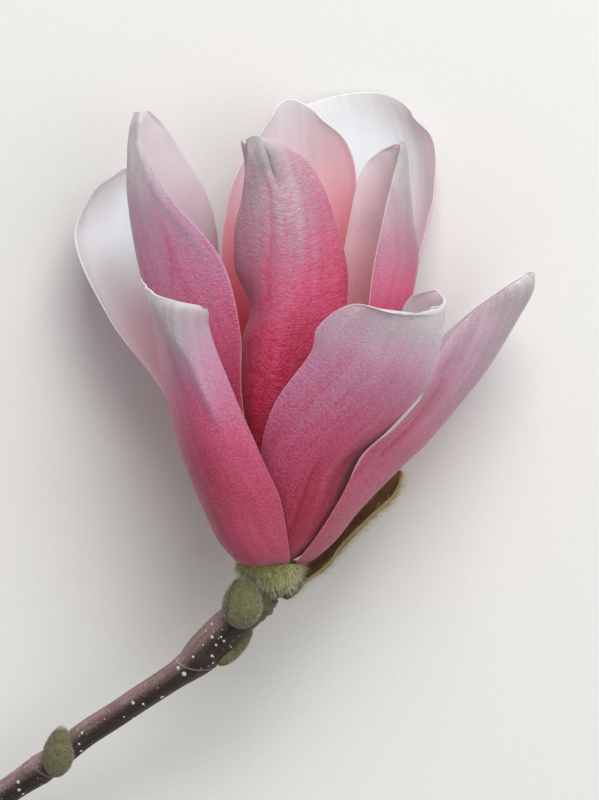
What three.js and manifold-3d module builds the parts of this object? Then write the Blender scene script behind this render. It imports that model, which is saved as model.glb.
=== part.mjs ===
// Saucer magnolia branch: a cut shoot with one half-open flower at its tip, lying on its back.
// Millimetres, +Z up. The flower stands along +Y, and its face turned upward is the one seen in front.
import * as THREE from 'three';
import { mergeVertices } from 'three/addons/utils/BufferGeometryUtils.js';
import Module from 'manifold-3d';

const wasm = await Module();
wasm.setup();

// ---------------------------------------------------------------- driving sizes
// All places are measured from the foot of the flower, on the flower's own axis.
const lyingLevel = -28.3;      // height of the surface that the branch lies on
const seatGap = 0.3;           // clearance between pieces that touch in nature

// A tepal is a blade between a left margin, a midrib and a right margin, named as seen from outside.
const tepalThickness = { body: 1.2, margin: 0.75 };
const tepalColumns = 10;
const rowsPerStation = 2;

// Whorls of three: radius of the attachment ring, its height, and half the angle each foot takes.
const outerWhorl = { radius: 6.3, height: 0, halfAngle: 44 };
const middleWhorl = { radius: 4.9, height: 0.6, halfAngle: 47 };
const innerWhorl = { radius: 3.5, height: 2.4, halfAngle: 46 };

// Bearings go round the flower from its right side (0) over its back (90) and left (180) to its front.
const tepals = [
  {
    name: 'outer_tepal_left', whorl: outerWhorl, bearing: 140, colour: 0xefe3e6,
    left: [[-6, 9, -9.5], [-4.5, 18, -13], [-8, 32, -18], [-11, 47, -21], [-12, 61, -22.5],
      [-13.5, 70, -23.5], [-16.5, 74, -24.5]],
    midrib: [[-9, 9, -7], [-10.5, 18, -10.5], [-17.5, 32, -16.5], [-24.5, 47, -22.5], [-29, 61.5, -27.5],
      [-27.5, 71.5, -28], [-23, 76.5, -26]],
    right: [[-10.5, 9, -1.5], [-13.5, 18, -3.5], [-20.2, 32.1, -5.5], [-30.8, 46.2, -8], [-37.6, 61, -12],
      [-35, 70, -17], [-29.5, 75.2, -21]],
  },
  {
    name: 'outer_tepal_front', whorl: outerWhorl, bearing: 249, halfAngle: 58, colour: 0xc98399,
    left: [[-6.8, 1.2, 2], [-9.5, 4.8, 2.8], [-12.7, 11.3, 4], [-16.2, 20.4, 6], [-19.4, 31.7, 9],
      [-21.2, 42.1, 13.5], [-22.1, 47.3, 17], [-23.9, 53.5, 20]],
    midrib: [[-3.6, 0.3, 9.5], [-6.7, 4.3, 12.5], [-9.3, 11.1, 15], [-13, 20.1, 18.5], [-15.8, 31.3, 23],
      [-17.5, 41.5, 28], [-18.3, 47, 31], [-18.3, 49.7, 31.5]],
    right: [[3.9, 1.3, 7.5], [3.4, 5.3, 9.2], [2, 12.7, 12.3], [-1.4, 20.5, 15.2], [-6.2, 31.7, 20],
      [-10.3, 42.3, 25], [-11.1, 46.2, 27.3], [-11.5, 48.4, 28.5]],
  },
  {
    name: 'outer_tepal_right', whorl: outerWhorl, bearing: 356, halfAngle: 33, colour: 0xd49aab,
    left: [[6, 1.1, 5.4], [9.2, 5.2, 8], [13.4, 11.9, 9.5], [18.2, 20.3, 10.9], [24.6, 25.9, 10.6],
      [30.4, 32.9, 7.5], [32.2, 39, 4], [37.9, 46.5, 0], [45, 51.8, 0], [48.9, 54.6, -3]],
    midrib: [[8.8, 1.2, 0], [12.6, 4.6, -0.8], [16.9, 9.9, -2.5], [24.8, 18, -5], [29.8, 22.7, -8],
      [35.8, 29.6, -10], [41.8, 37.2, -11], [47.3, 46.2, -10], [50.2, 51.6, -8], [50.5, 55, -5]],
    right: [[6.9, 1.2, -4.2], [8.8, 5, -6], [12.2, 10.8, -9], [19.5, 19, -16], [25, 24.3, -21],
      [29.8, 31, -25.8], [32.6, 41, -28.3], [38.5, 47.2, -26.4], [45.3, 52.4, -17], [49.2, 55.1, -7]],
  },
  {
    name: 'middle_tepal_left', whorl: middleWhorl, bearing: 188, colour: 0xd18fa5,
    left: [[-6.5, 18, -7.5], [-10, 32, -10], [-11, 44, -11], [-9.8, 58, -11], [-11.8, 69, -10],
      [-17, 78.2, -8], [-20.1, 83.1, -5.5], [-23.2, 85.9, -2.5]],
    midrib: [[-11, 18, 2], [-17.5, 32, 2], [-21, 44, 2], [-24.8, 58, 2], [-26.2, 69, 2],
      [-26.1, 77.5, 1.5], [-25.9, 82.3, 1.2], [-25.3, 85.5, 0.8]],
    right: [[-3.4, 18, 10.3], [-5.1, 32, 12.5], [-5.5, 44, 13.5], [-9.3, 57.5, 14], [-18.8, 69, 12],
      [-23.6, 77.5, 8], [-24.2, 81.8, 5.5], [-23.9, 85.2, 3]],
  },
  {
    name: 'middle_tepal_back', whorl: middleWhorl, bearing: 62, colour: 0xf1e4e7,
    left: [[10.5, 18, -4.5], [24, 38, -8], [29, 58, -14], [32, 70, -19], [32.2, 80.2, -22], [28, 86, -24]],
    midrib: [[6, 18, -10.5], [17, 38, -20], [22, 58, -26], [24, 70, -28.1], [23.5, 81, -27.9],
      [20.2, 90.5, -26]],
    right: [[0, 18, -12], [1, 38, -18], [2, 58, -21], [3, 70, -22], [3.5, 80, -22.5], [6.3, 87.7, -23]],
  },
  {
    name: 'middle_tepal_front', whorl: middleWhorl, bearing: 300, colour: 0xcb7f98,
    left: [[-1.1, 2.4, 5.4], [-0.8, 4.7, 6.2], [-0.2, 10, 8], [-1.5, 20, 12], [1.1, 29.8, 19],
      [7.8, 39.1, 25.5], [9.4, 44.2, 29], [15.4, 48.2, 30.5], [24.1, 46.7, 27], [31.5, 47.9, 20]],
    midrib: [[4.2, 2.2, 5.9], [6, 4.4, 7.4], [8.4, 9.6, 9.4], [12.3, 19, 12], [19.6, 26.2, 13.6],
      [27.6, 34.4, 17], [30.6, 41.7, 19], [32.2, 45.3, 18.5], [32.7, 47.5, 17.5], [33, 49.4, 16.5]],
    right: [[7.1, 2.1, 1.2], [9.5, 4.5, 0.9], [13.2, 10, 0.4], [17.1, 20, 0.6], [21.5, 26, 2.2],
      [25.6, 33, 5.2], [26.6, 40.5, 8], [25, 46.2, 8.5], [27, 50.4, 11], [31.4, 51.6, 14]],
  },
  {
    name: 'inner_tepal_front', whorl: innerWhorl, bearing: 262, colour: 0xc65b7f,
    left: [[-3.4, 21, 6], [-5.4, 30.8, 6.8], [-5.2, 41.5, 7.2], [-3.8, 48, 7.3], [-6.5, 54.9, 7.6],
      [-6.8, 61.9, 8], [-5.4, 68.9, 8], [-4.9, 75.1, 8], [-5.2, 80, 8]],
    midrib: [[-0.5, 21, 9], [0.6, 30.8, 12], [2.1, 41.1, 14.3], [3.1, 48, 15.3], [3.5, 55.2, 15.6],
      [3.3, 62.1, 15.6], [2.3, 68.9, 14.6], [0.2, 75, 12.2], [-1.8, 80.1, 9.5]],
    right: [[5.5, 21, 6], [10.6, 30.8, 6.5], [14, 41.5, 7], [15, 48.3, 7], [15.1, 55.3, 7],
      [13.7, 61.9, 7.3], [11.6, 68.5, 8], [7.7, 75.7, 8.6], [2.1, 79.6, 9.2]],
  },
  {
    name: 'inner_tepal_right', whorl: innerWhorl, bearing: 5, colour: 0xd79bb0,
    left: [[6.8, 20, 4], [17, 40, 6], [19.9, 56, 8], [22, 66, 7.5], [24.1, 74, 5.5], [24.9, 77.5, 3.7],
      [25.2, 79.9, 2]],
    midrib: [[9.5, 20, -0.5], [23, 40, 0], [27.7, 56, 1], [26.7, 66, 0], [25.8, 74, -0.5], [25.7, 77.5, 0],
      [25.5, 79.6, 0.4]],
    right: [[6.2, 20, -4.6], [13, 40, -5.5], [14, 56, -5.5], [15.6, 66, -5.5], [17.8, 74.5, -5.5],
      [21.1, 78.1, -4], [24.4, 79.4, -1.6]],
  },
  {
    name: 'inner_tepal_back', whorl: innerWhorl, bearing: 112, colour: 0xf0d9de,
    left: [[4, 20, -7.5], [12, 40, -10.5], [16, 58, -11.5], [17.1, 70, -11.5], [15.3, 80, -12],
      [9.3, 85.7, -12]],
    midrib: [[0, 20, -8.5], [3, 40, -14], [5, 58, -16], [5, 70, -16], [4.5, 80, -14.5], [4, 88.6, -12]],
    right: [[-6.8, 20, -3.5], [-9, 40, -3.5], [-9.4, 58, -2], [-7.9, 70, -3], [-3.2, 80, -6],
      [1, 86, -9.5]],
  },
];

// The split bud scale clings behind the right outer tepal.
const budScale = {
  left: [[3.7, -6.3, 1.1], [5, -5.5, 0.2], [7, -3.7, -1], [10.6, -0.9, -3.4], [14, 3.2, -5],
    [18.6, 8, -6.2], [23.6, 12.6, -8], [25.3, 16.6, -10.4]],
  midrib: [[3.4, -6.8, -1.1], [4.7, -5.7, -2.8], [6, -3.8, -4.4], [10, -1, -6.8], [13.4, 3, -9.4],
    [18.2, 8, -10.8], [23, 12.8, -12.4], [25.2, 17.2, -12.2]],
  right: [[2, -6.7, -3.7], [2.4, -5.6, -5.4], [3, -3.6, -6.7], [6.6, -0.8, -9.6], [9.4, 3.6, -11.6],
    [13, 9, -13], [17.5, 14, -14.6], [23.4, 17.4, -13.8]],
};
const budScaleThickness = { body: 0.9, margin: 0.7 };
const budScaleColumns = 6;

// The twig runs from its joint with the flower stalk down to the cut end on the surface.
const twigPath = [[-1, -6.2, -0.3], [-3, -8.6, -0.6], [-6.8, -11.6, -1.4], [-10.8, -15.4, -2.8],
  [-14.7, -19.5, -4.5], [-19.4, -22.8, -6.2], [-24.8, -26.4, -8], [-30.2, -30, -9.8], [-35.8, -33.7, -11.7],
  [-42.3, -39, -14.1], [-49.9, -44.2, -16.7], [-60.5, -51.6, -20.6], [-73.5, -60.6, -26.3]];
const twigRadius = { top: 2.9, middle: 2.45, cut: 2.6 };
const twigThinnestAt = 0.3;    // share of its length at which the twig is thinnest
const twigSides = 16;
const twigRings = 56;
// Swellings of the twig: distance from the stalk, added radius and length of the swelling.
const twigNodes = [
  { at: 1.6, rise: 0.35, length: 0.9 },
  { at: 11, rise: 0.85, length: 7.5 },
  { at: 17.5, rise: 0.45, length: 3 },
  { at: 57, rise: 0.35, length: 3.4 },
  { at: 84, rise: 0.2, length: 3 },
];

// The stalk widens from the twig to the receptacle, whose three steps carry the three whorls.
const stalkRings = [
  { centre: [-0.3, -5.5, -0.2], radius: 2.8, turn: 0.25 },
  { centre: [0.15, -4.4, -0.1], radius: 3.9, turn: 0.6 },
  { centre: [0.2, -3, 0], radius: 5.2, turn: 0.88 },
  { centre: [0.1, -1.5, 0], radius: 6.2, turn: 1 },
];
const jointCollar = 0.1;       // how far the stalk's joint stands out beyond the twig
const stalkSides = 20;
const receptacleRim = 6.9;
const stepOverhang = 0.35;     // how far a step reaches past the middle of the feet on it

// Buds: foot and tip of the axis, greatest radius, flattening across the twig.
const buds = [
  { name: 'upper_bud', foot: [-5.2, -12.6, 3.2], tip: [-5, -2.6, 4.9], radius: 3.75, flat: 0.8 },
  { name: 'side_bud', foot: [-9.7, -19.7, -2.6], tip: [-3.1, -12.9, -3.4], radius: 1.7, flat: 0.8 },
  { name: 'lower_bud', foot: [-41.2, -41.6, -12.4], tip: [-39.6, -31.6, -9.2], radius: 2.95, flat: 0.85 },
];
const budSides = 14;
const budRings = 10;
const budEnds = [0.004, 0.996];    // shares of the axis at which a bud's first and last rings stand
const eggShape = { lean: 0.8, fullness: 0.65 };

// The column inside the flower: stamens round its foot, and the cone of carpels above them.
const stamenColumn = { radius: 2.1, from: 2.4, to: 9.2 };
const stamens = { count: 34, length: 7.5, width: 1.1, lean: 12, firstHeight: 3.4, lastHeight: 6.4 };
const pistilCone = { footRadius: 2, topRadius: 1.1, from: 9.5, to: 23 };
const carpels = { count: 28, length: 4, width: 1.3, lean: 22, firstHeight: 13.2, lastHeight: 22.5 };
const rootDepth = 0.45;        // how deep a strap's root is sunk into the core
const strapShape = { tip: 0.2, root: 0.5, flatness: 0.7, sides: 4 };    // tip and root as shares of width
const stamenCoreSides = 14;
const pistilCoreSides = 12;
const goldenAngle = Math.PI * (3 - Math.sqrt(5));

// ---------------------------------------------------------------- shape helpers
const toPoint = (place) => new THREE.Vector3(...place);

function railPoint(stations, along) {
  return new THREE.CatmullRomCurve3(stations, false, 'catmullrom', 0.5).getPoint(along);
}

// Index triples joined to a closed body, as a geometry with smooth normals.
function closedGeometry(points, triangles) {
  const geometry = new THREE.BufferGeometry();
  const flatList = points.flatMap((point) => [point.x, point.y, point.z]);
  geometry.setAttribute('position', new THREE.Float32BufferAttribute(flatList, 3));
  geometry.setIndex(triangles);
  geometry.computeVertexNormals();
  return geometry;
}

// A leaf-like blade across three rails, thickened to both sides and lying no lower than the surface.
// Its first row is cut level at the foot's height.
function bladeGeometry(rails, rows, columns, thickness, footHeight) {
  const middle = [];
  for (let row = 0; row <= rows; row += 1) {
    const along = row / rows;
    const left = railPoint(rails.left, along);
    const midrib = railPoint(rails.midrib, along);
    const right = railPoint(rails.right, along);
    for (let column = 0; column <= columns; column += 1) {
      const across = (2 * column) / columns - 1;
      const point = new THREE.Vector3();
      point.addScaledVector(left, (across * (across - 1)) / 2);
      point.addScaledVector(midrib, 1 - across * across);
      point.addScaledVector(right, (across * (across + 1)) / 2);
      middle.push(point);
    }
  }
  const at = (row, column) => row * (columns + 1) + column;
  const outer = [];
  const inner = [];
  for (let row = 0; row <= rows; row += 1) {
    for (let column = 0; column <= columns; column += 1) {
      const acrossFrom = middle[at(row, Math.max(column - 1, 0))];
      const acrossTo = middle[at(row, Math.min(column + 1, columns))];
      const alongFrom = middle[at(Math.max(row - 1, 0), column)];
      const alongTo = middle[at(Math.min(row + 1, rows), column)];
      const acrossStep = acrossTo.clone().sub(acrossFrom);
      const alongStep = alongTo.clone().sub(alongFrom);
      const normal = acrossStep.cross(alongStep).normalize();
      const across = (2 * column) / columns - 1;
      const fullness = (1 - across * across) * (1 - (0.5 * row) / rows);
      const half = (thickness.margin + (thickness.body - thickness.margin) * fullness) / 2;
      const point = middle[at(row, column)];
      outer.push(point.clone().addScaledVector(normal, half));
      inner.push(point.clone().addScaledVector(normal, -half));
    }
  }
  const points = [...outer, ...inner];
  points.forEach((point) => point.setZ(Math.max(point.z, lyingLevel)));
  if (footHeight !== undefined) {
    const footPoints = [...outer.slice(0, columns + 1), ...inner.slice(0, columns + 1)];
    footPoints.forEach((point) => point.setY(footHeight));
  }

  const innerStart = outer.length;
  const triangles = [];
  const addFacePair = (a, b, c) => {
    triangles.push(a, b, c);
    triangles.push(innerStart + a, innerStart + c, innerStart + b);
  };
  const addRim = (from, to) => {
    triangles.push(to, from, innerStart + from);
    triangles.push(to, innerStart + from, innerStart + to);
  };
  for (let row = 0; row < rows; row += 1) {
    for (let column = 0; column < columns; column += 1) {
      addFacePair(at(row, column), at(row, column + 1), at(row + 1, column + 1));
      addFacePair(at(row, column), at(row + 1, column + 1), at(row + 1, column));
    }
    addRim(at(row, columns), at(row + 1, columns));
    addRim(at(row + 1, 0), at(row, 0));
  }
  for (let column = 0; column < columns; column += 1) {
    addRim(at(0, column), at(0, column + 1));
    addRim(at(rows, column + 1), at(rows, column));
  }
  return closedGeometry(points, triangles);
}

// One ring of points round an axis; radiusAt gives the radius for each angle.
function ringOfPoints(centre, axis, sides, radiusAt) {
  const up = new THREE.Vector3(0, 0, 1);
  const first = up.addScaledVector(axis, -up.dot(axis)).normalize();
  const second = axis.clone().cross(first);
  const ring = [];
  for (let side = 0; side < sides; side += 1) {
    const angle = (2 * Math.PI * side) / sides;
    const radius = radiusAt(angle);
    const point = centre.clone().addScaledVector(first, radius * Math.cos(angle));
    ring.push(point.addScaledVector(second, radius * Math.sin(angle)));
  }
  return ring;
}

// Rings of equal count joined to a closed body with a flat fan at each end.
function loftGeometry(rings) {
  const sides = rings[0].length;
  const points = rings.flat();
  points.forEach((point) => point.setZ(Math.max(point.z, lyingLevel)));
  const triangles = [];
  for (let ring = 0; ring < rings.length - 1; ring += 1) {
    for (let side = 0; side < sides; side += 1) {
      const next = (side + 1) % sides;
      const a = ring * sides + side;
      const b = ring * sides + next;
      triangles.push(a, b, b + sides);
      triangles.push(a, b + sides, a + sides);
    }
  }
  const centreOf = (ring) => {
    const sum = new THREE.Vector3();
    ring.forEach((point) => sum.add(point));
    return sum.divideScalar(sides);
  };
  const startCentre = points.push(centreOf(rings[0])) - 1;
  const endCentre = points.push(centreOf(rings[rings.length - 1])) - 1;
  const lastRing = (rings.length - 1) * sides;
  for (let side = 0; side < sides; side += 1) {
    const next = (side + 1) % sides;
    triangles.push(startCentre, next, side);
    triangles.push(endCentre, lastRing + side, lastRing + next);
  }
  return closedGeometry(points, triangles);
}

const weldDistance = 1e-4;

function solidFrom(geometry) {
  const bare = geometry.clone();
  bare.deleteAttribute('normal');
  bare.deleteAttribute('uv');
  const welded = mergeVertices(bare, weldDistance);
  const vertProperties = new Float32Array(welded.attributes.position.array);
  const triVerts = new Uint32Array(welded.index.array);
  return new wasm.Manifold(new wasm.Mesh({ numProp: 3, vertProperties, triVerts }));
}

function geometryFrom(solid) {
  const mesh = solid.getMesh();
  const geometry = new THREE.BufferGeometry();
  geometry.setAttribute('position', new THREE.Float32BufferAttribute(mesh.vertProperties, 3));
  geometry.setIndex(Array.from(mesh.triVerts));
  geometry.computeVertexNormals();
  return geometry;
}

// ---------------------------------------------------------------- tepals
// Foot of a rail on its whorl's attachment ring.
function whorlPoint(whorl, bearing) {
  const angle = THREE.MathUtils.degToRad(bearing);
  return new THREE.Vector3(whorl.radius * Math.cos(angle), whorl.height, -whorl.radius * Math.sin(angle));
}

function tepalGeometry({ whorl, bearing, halfAngle = whorl.halfAngle, left, midrib, right }) {
  const rails = {
    left: [whorlPoint(whorl, bearing - halfAngle), ...left.map(toPoint)],
    midrib: [whorlPoint(whorl, bearing), ...midrib.map(toPoint)],
    right: [whorlPoint(whorl, bearing + halfAngle), ...right.map(toPoint)],
  };
  const rows = rowsPerStation * (rails.midrib.length - 1);
  return bladeGeometry(rails, rows, tepalColumns, tepalThickness, whorl.height);
}

function budScaleGeometry() {
  const rails = {
    left: budScale.left.map(toPoint),
    midrib: budScale.midrib.map(toPoint),
    right: budScale.right.map(toPoint),
  };
  const rows = rowsPerStation * (rails.midrib.length - 1);
  return bladeGeometry(rails, rows, budScaleColumns, budScaleThickness);
}

// ---------------------------------------------------------------- twig, stalk and buds
// The twig's surface, or one that stands off it by the given clearance.
function twigGeometry(clearance) {
  const path = new THREE.CatmullRomCurve3(twigPath.map(toPoint));
  const length = path.getLength();
  const rings = [];
  for (let ring = 0; ring <= twigRings; ring += 1) {
    const along = ring / twigRings;
    const distance = along * length;
    const taper = along < twigThinnestAt
      ? THREE.MathUtils.mapLinear(along, 0, twigThinnestAt, twigRadius.top, twigRadius.middle)
      : THREE.MathUtils.mapLinear(along, twigThinnestAt, 1, twigRadius.middle, twigRadius.cut);
    const swelling = twigNodes.reduce(
      (sum, node) => sum + node.rise * Math.exp(-(((distance - node.at) / node.length) ** 2)),
      0,
    );
    const radius = taper + swelling + clearance;
    rings.push(ringOfPoints(path.getPointAt(along), path.getTangentAt(along), twigSides, () => radius));
  }
  return loftGeometry(rings);
}

// Stalk and receptacle: turned gradually from the twig's direction to the flower's axis.
function stalkGeometry() {
  const twigDirection = new THREE.CatmullRomCurve3(twigPath.map(toPoint)).getTangentAt(0).negate();
  const flowerDirection = new THREE.Vector3(0, 1, 0);
  const rings = [];
  const addRing = (centre, direction, radius) => {
    rings.push(ringOfPoints(centre, direction, stalkSides, () => radius));
  };
  const joint = toPoint(twigPath[0]).addScaledVector(twigDirection, seatGap);
  addRing(joint, twigDirection, twigRadius.top + jointCollar);
  for (const { centre, radius, turn } of stalkRings) {
    addRing(toPoint(centre), twigDirection.clone().lerp(flowerDirection, turn).normalize(), radius);
  }
  const step = (height, radius) => addRing(new THREE.Vector3(0, height, 0), flowerDirection, radius);
  step(outerWhorl.height - seatGap, receptacleRim);
  step(outerWhorl.height - seatGap, middleWhorl.radius + stepOverhang);
  step(middleWhorl.height - seatGap, middleWhorl.radius + stepOverhang);
  step(middleWhorl.height - seatGap, innerWhorl.radius + stepOverhang);
  step(innerWhorl.height - seatGap, innerWhorl.radius + stepOverhang);
  return loftGeometry(rings);
}

function budGeometry({ foot, tip, radius, flat }) {
  const start = toPoint(foot);
  const axis = toPoint(tip).sub(start);
  const direction = axis.clone().normalize();
  const rings = [];
  for (let ring = 0; ring <= budRings; ring += 1) {
    const along = THREE.MathUtils.lerp(...budEnds, ring / budRings);
    const egg = radius * Math.sin(Math.PI * along ** eggShape.lean) ** eggShape.fullness;
    const centre = start.clone().addScaledVector(axis, along);
    const radiusAt = (angle) => egg * (1 - (1 - flat) * Math.cos(angle) ** 2);
    rings.push(ringOfPoints(centre, direction, budSides, radiusAt));
  }
  const twigWithClearance = solidFrom(twigGeometry(seatGap));
  return geometryFrom(solidFrom(loftGeometry(rings)).subtract(twigWithClearance));
}

// ---------------------------------------------------------------- stamens and pistil
// Pointed straps set round a core in a spiral, their roots sunk into it.
function spiralOnCore(core, coreRadiusAt, straps) {
  const pieces = [];
  for (let index = 0; index < straps.count; index += 1) {
    const share = index / (straps.count - 1);
    const height = THREE.MathUtils.lerp(straps.firstHeight, straps.lastHeight, share);
    const tipRadius = straps.width * strapShape.tip;
    const rootRadius = straps.width * strapShape.root;
    const strap = new THREE.CylinderGeometry(tipRadius, rootRadius, straps.length, strapShape.sides, 1);
    strap.rotateY(Math.PI / strapShape.sides);
    strap.scale(1, 1, strapShape.flatness);
    strap.translate(0, straps.length / 2, 0);
    strap.rotateX(THREE.MathUtils.degToRad(straps.lean));
    strap.translate(0, height - rootDepth, coreRadiusAt(height) - rootDepth);
    strap.rotateY(index * goldenAngle);
    pieces.push(solidFrom(strap));
  }
  return geometryFrom(pieces.reduce((sum, piece) => sum.add(piece), solidFrom(core)));
}

function stamensGeometry() {
  const height = stamenColumn.to - stamenColumn.from;
  const { radius } = stamenColumn;
  const core = new THREE.CylinderGeometry(radius, radius, height, stamenCoreSides, 1);
  core.translate(0, stamenColumn.from + height / 2, 0);
  return spiralOnCore(core, () => radius, stamens);
}

function pistilGeometry() {
  const height = pistilCone.to - pistilCone.from;
  const { topRadius, footRadius } = pistilCone;
  const core = new THREE.CylinderGeometry(topRadius, footRadius, height, pistilCoreSides, 1);
  core.translate(0, pistilCone.from + height / 2, 0);
  const radiusAt = (place) => THREE.MathUtils.mapLinear(
    place, pistilCone.from, pistilCone.to, footRadius, topRadius,
  );
  return spiralOnCore(core, radiusAt, carpels);
}

// ---------------------------------------------------------------- the branch
const branch = new THREE.Group();

function addPiece(name, geometry, colour, roughness) {
  const material = new THREE.MeshStandardMaterial({ color: colour, roughness, metalness: 0 });
  const mesh = new THREE.Mesh(geometry, material);
  mesh.name = name;
  branch.add(mesh);
}

addPiece('twig', twigGeometry(0), 0x6b4a42, 0.65);
addPiece('flower_stalk', stalkGeometry(), 0xb8ab6a, 0.85);
addPiece('bud_scale', budScaleGeometry(), 0x5a4426, 0.8);
buds.forEach((bud) => addPiece(bud.name, budGeometry(bud), 0x77754e, 0.85));
addPiece('stamens', stamensGeometry(), 0xb0436a, 0.6);
addPiece('pistil', pistilGeometry(), 0x9aa05a, 0.6);
tepals.forEach((tepal) => addPiece(tepal.name, tepalGeometry(tepal), tepal.colour, 0.5));

// The origin is the bottom centre of the branch's box.
const reach = new THREE.Box3().setFromObject(branch, true);
const centre = reach.getCenter(new THREE.Vector3());
branch.position.set(-centre.x, -centre.y, -reach.min.z);

export default branch;
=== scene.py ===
import math
import bpy
import numpy as np
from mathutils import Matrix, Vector


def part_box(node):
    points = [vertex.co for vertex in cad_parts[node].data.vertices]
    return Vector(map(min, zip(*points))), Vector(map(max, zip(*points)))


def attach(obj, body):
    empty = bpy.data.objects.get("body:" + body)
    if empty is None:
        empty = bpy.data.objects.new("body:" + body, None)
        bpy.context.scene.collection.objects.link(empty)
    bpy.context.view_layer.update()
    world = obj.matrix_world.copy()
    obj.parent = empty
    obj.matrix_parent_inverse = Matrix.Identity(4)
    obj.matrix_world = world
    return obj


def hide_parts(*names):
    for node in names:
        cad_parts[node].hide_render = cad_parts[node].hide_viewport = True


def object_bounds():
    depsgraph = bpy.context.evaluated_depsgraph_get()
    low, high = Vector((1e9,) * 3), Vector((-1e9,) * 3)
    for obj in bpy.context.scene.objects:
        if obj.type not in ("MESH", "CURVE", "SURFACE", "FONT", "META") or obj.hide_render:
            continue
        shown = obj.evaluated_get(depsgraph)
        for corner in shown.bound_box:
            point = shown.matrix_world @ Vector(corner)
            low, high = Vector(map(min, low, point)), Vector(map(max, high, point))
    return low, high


# Saucer magnolia branch: a cut shoot with one half-open flower, lying on a pale floor and seen from above.
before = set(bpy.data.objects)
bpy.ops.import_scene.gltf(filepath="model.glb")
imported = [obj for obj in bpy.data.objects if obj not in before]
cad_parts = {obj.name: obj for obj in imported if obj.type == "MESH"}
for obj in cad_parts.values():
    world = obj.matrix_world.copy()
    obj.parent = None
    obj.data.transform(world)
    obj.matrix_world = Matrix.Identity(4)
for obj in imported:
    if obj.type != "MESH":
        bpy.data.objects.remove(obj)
cadLow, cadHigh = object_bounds()
print("frame loaded,", len(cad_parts), "nodes")

mm = 0.001
fullTurn = 2 * math.pi
upward = np.array([0, 0, 1.0])

# The flower's axis runs through the middle of the stalk's rim, and its foot is 2.1 mm under the top step.
stalkLow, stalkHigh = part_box("flower_stalk")
flowerFoot = np.array([(stalkLow.x + stalkHigh.x) / 2, stalkHigh.y - 2.1 * mm,
                       (stalkLow.z + stalkHigh.z) / 2])
lyingLevel = (cadLow.z - flowerFoot[2]) / mm    # the floor, in millimetres from the flower's foot


def fromFoot(places):    # millimetres from the flower's foot to metres in the frame
    return np.asarray(places, float) * mm + flowerFoot


def smoothStep(low, high, value):
    share = np.clip((value - low) / (high - low), 0, 1)
    return share * share * (3 - 2 * share)


def colour(red, green, blue):    # a screen colour, 0 to 255, as Blender's linear values
    parts = np.array([red, green, blue]) / 255
    parts = np.where(parts < 0.04045, parts / 12.92, ((parts + 0.055) / 1.055) ** 2.4)
    return (*parts, 1)


def smoothCurve(stations, share):    # an even Catmull-Rom curve through the stations
    stations = np.asarray(stations, float)
    spans = len(stations) - 1
    ends = np.vstack([2 * stations[0] - stations[1], stations, 2 * stations[-1] - stations[-2]])
    span = np.minimum((share * spans).astype(int), spans - 1)
    t = (share * spans - span)[:, None]
    before, start, end, after = ends[span], ends[span + 1], ends[span + 2], ends[span + 3]
    leaving, arriving = (end - before) / 2, (after - start) / 2
    return (
        start + leaving * t
        + (3 * (end - start) - 2 * leaving - arriving) * t ** 2
        + (2 * (start - end) + leaving + arriving) * t ** 3
    )


def unit(vectors):
    return vectors / np.maximum(np.linalg.norm(vectors, axis=-1, keepdims=True), 1e-12)


def turnsRound(sides):    # even angles round a section
    return np.arange(sides) * fullTurn / sides


# meshes

def inScene(name, data):
    made = bpy.data.objects.new(name, data)
    bpy.context.scene.collection.objects.link(made)
    return made


def newObject(name, points, faces, values=None, places=None):
    # points in metres; values are named numbers for each point, places are the points' texture coordinates
    mesh = bpy.data.meshes.new(name)
    mesh.from_pydata(points.tolist(), [], faces)
    mesh.polygons.foreach_set("use_smooth", [True] * len(mesh.polygons))
    for label, numbers in (values or {}).items():
        kind = "FLOAT_VECTOR" if np.ndim(numbers) == 2 else "FLOAT"
        data = mesh.attributes.new(label, kind, "POINT").data
        data.foreach_set("vector" if kind == "FLOAT_VECTOR" else "value",
                         np.ravel(numbers).astype(np.float32))
    if places is not None:
        corners = np.zeros(len(mesh.loops), int)
        mesh.loops.foreach_get("vertex_index", corners)
        mesh.uv_layers.new(name="growth").data.foreach_set("uv", places[corners].astype(np.float32).ravel())
    mesh.update()
    return inScene(name, mesh)


def loftFaces(rings, sides):    # quads between closed rings of points that follow one another
    ring = np.arange(rings - 1)[:, None] * sides
    side = np.arange(sides)[None, :]
    following = (side + 1) % sides
    quads = np.stack([ring + side, ring + following, ring + sides + following, ring + sides + side], -1)
    return quads.reshape(-1, 4).tolist()


def closedFaces(rings, sides):    # quads between the rings, and one face over each end
    last = (rings - 1) * sides
    return loftFaces(rings, sides) + [list(range(sides))[::-1], list(range(last, last + sides))]


def closedLoft(name, rings, values=None):
    marks = {label: mark.ravel() for label, mark in (values or {}).items()}
    return newObject(name, fromFoot(rings.reshape(-1, 3)), closedFaces(*rings.shape[:2]), marks)


def ringsAlong(path, radii, sides, ways=None):
    # rings round a path, each standing square to the way there and starting on the upper side
    ways = unit(np.gradient(path, axis=0)) if ways is None else ways
    first = unit(upward - ways * (ways @ upward)[:, None])
    second = np.cross(ways, first)
    angle = turnsRound(sides)[None, :, None]
    radii = np.broadcast_to(np.reshape(radii, (len(path), -1)), (len(path), sides))
    outward = first[:, None] * np.cos(angle) + second[:, None] * np.sin(angle)
    return path[:, None] + radii[..., None] * outward


def finishPiece(piece, node, material=None):
    if material is not None:
        piece.data.materials.clear()
        piece.data.materials.append(material)
    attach(piece, "root")
    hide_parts(node)
    return piece


# node trees

def addNode(tree, kind, inputs=None, **settings):
    made = tree.nodes.new(kind)
    for label, value in settings.items():
        setattr(made, label, value)
    for label, value in (inputs or {}).items():
        if isinstance(value, bpy.types.NodeSocket):
            tree.links.new(value, made.inputs[label])
        else:
            made.inputs[label].default_value = value
    return made


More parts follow.
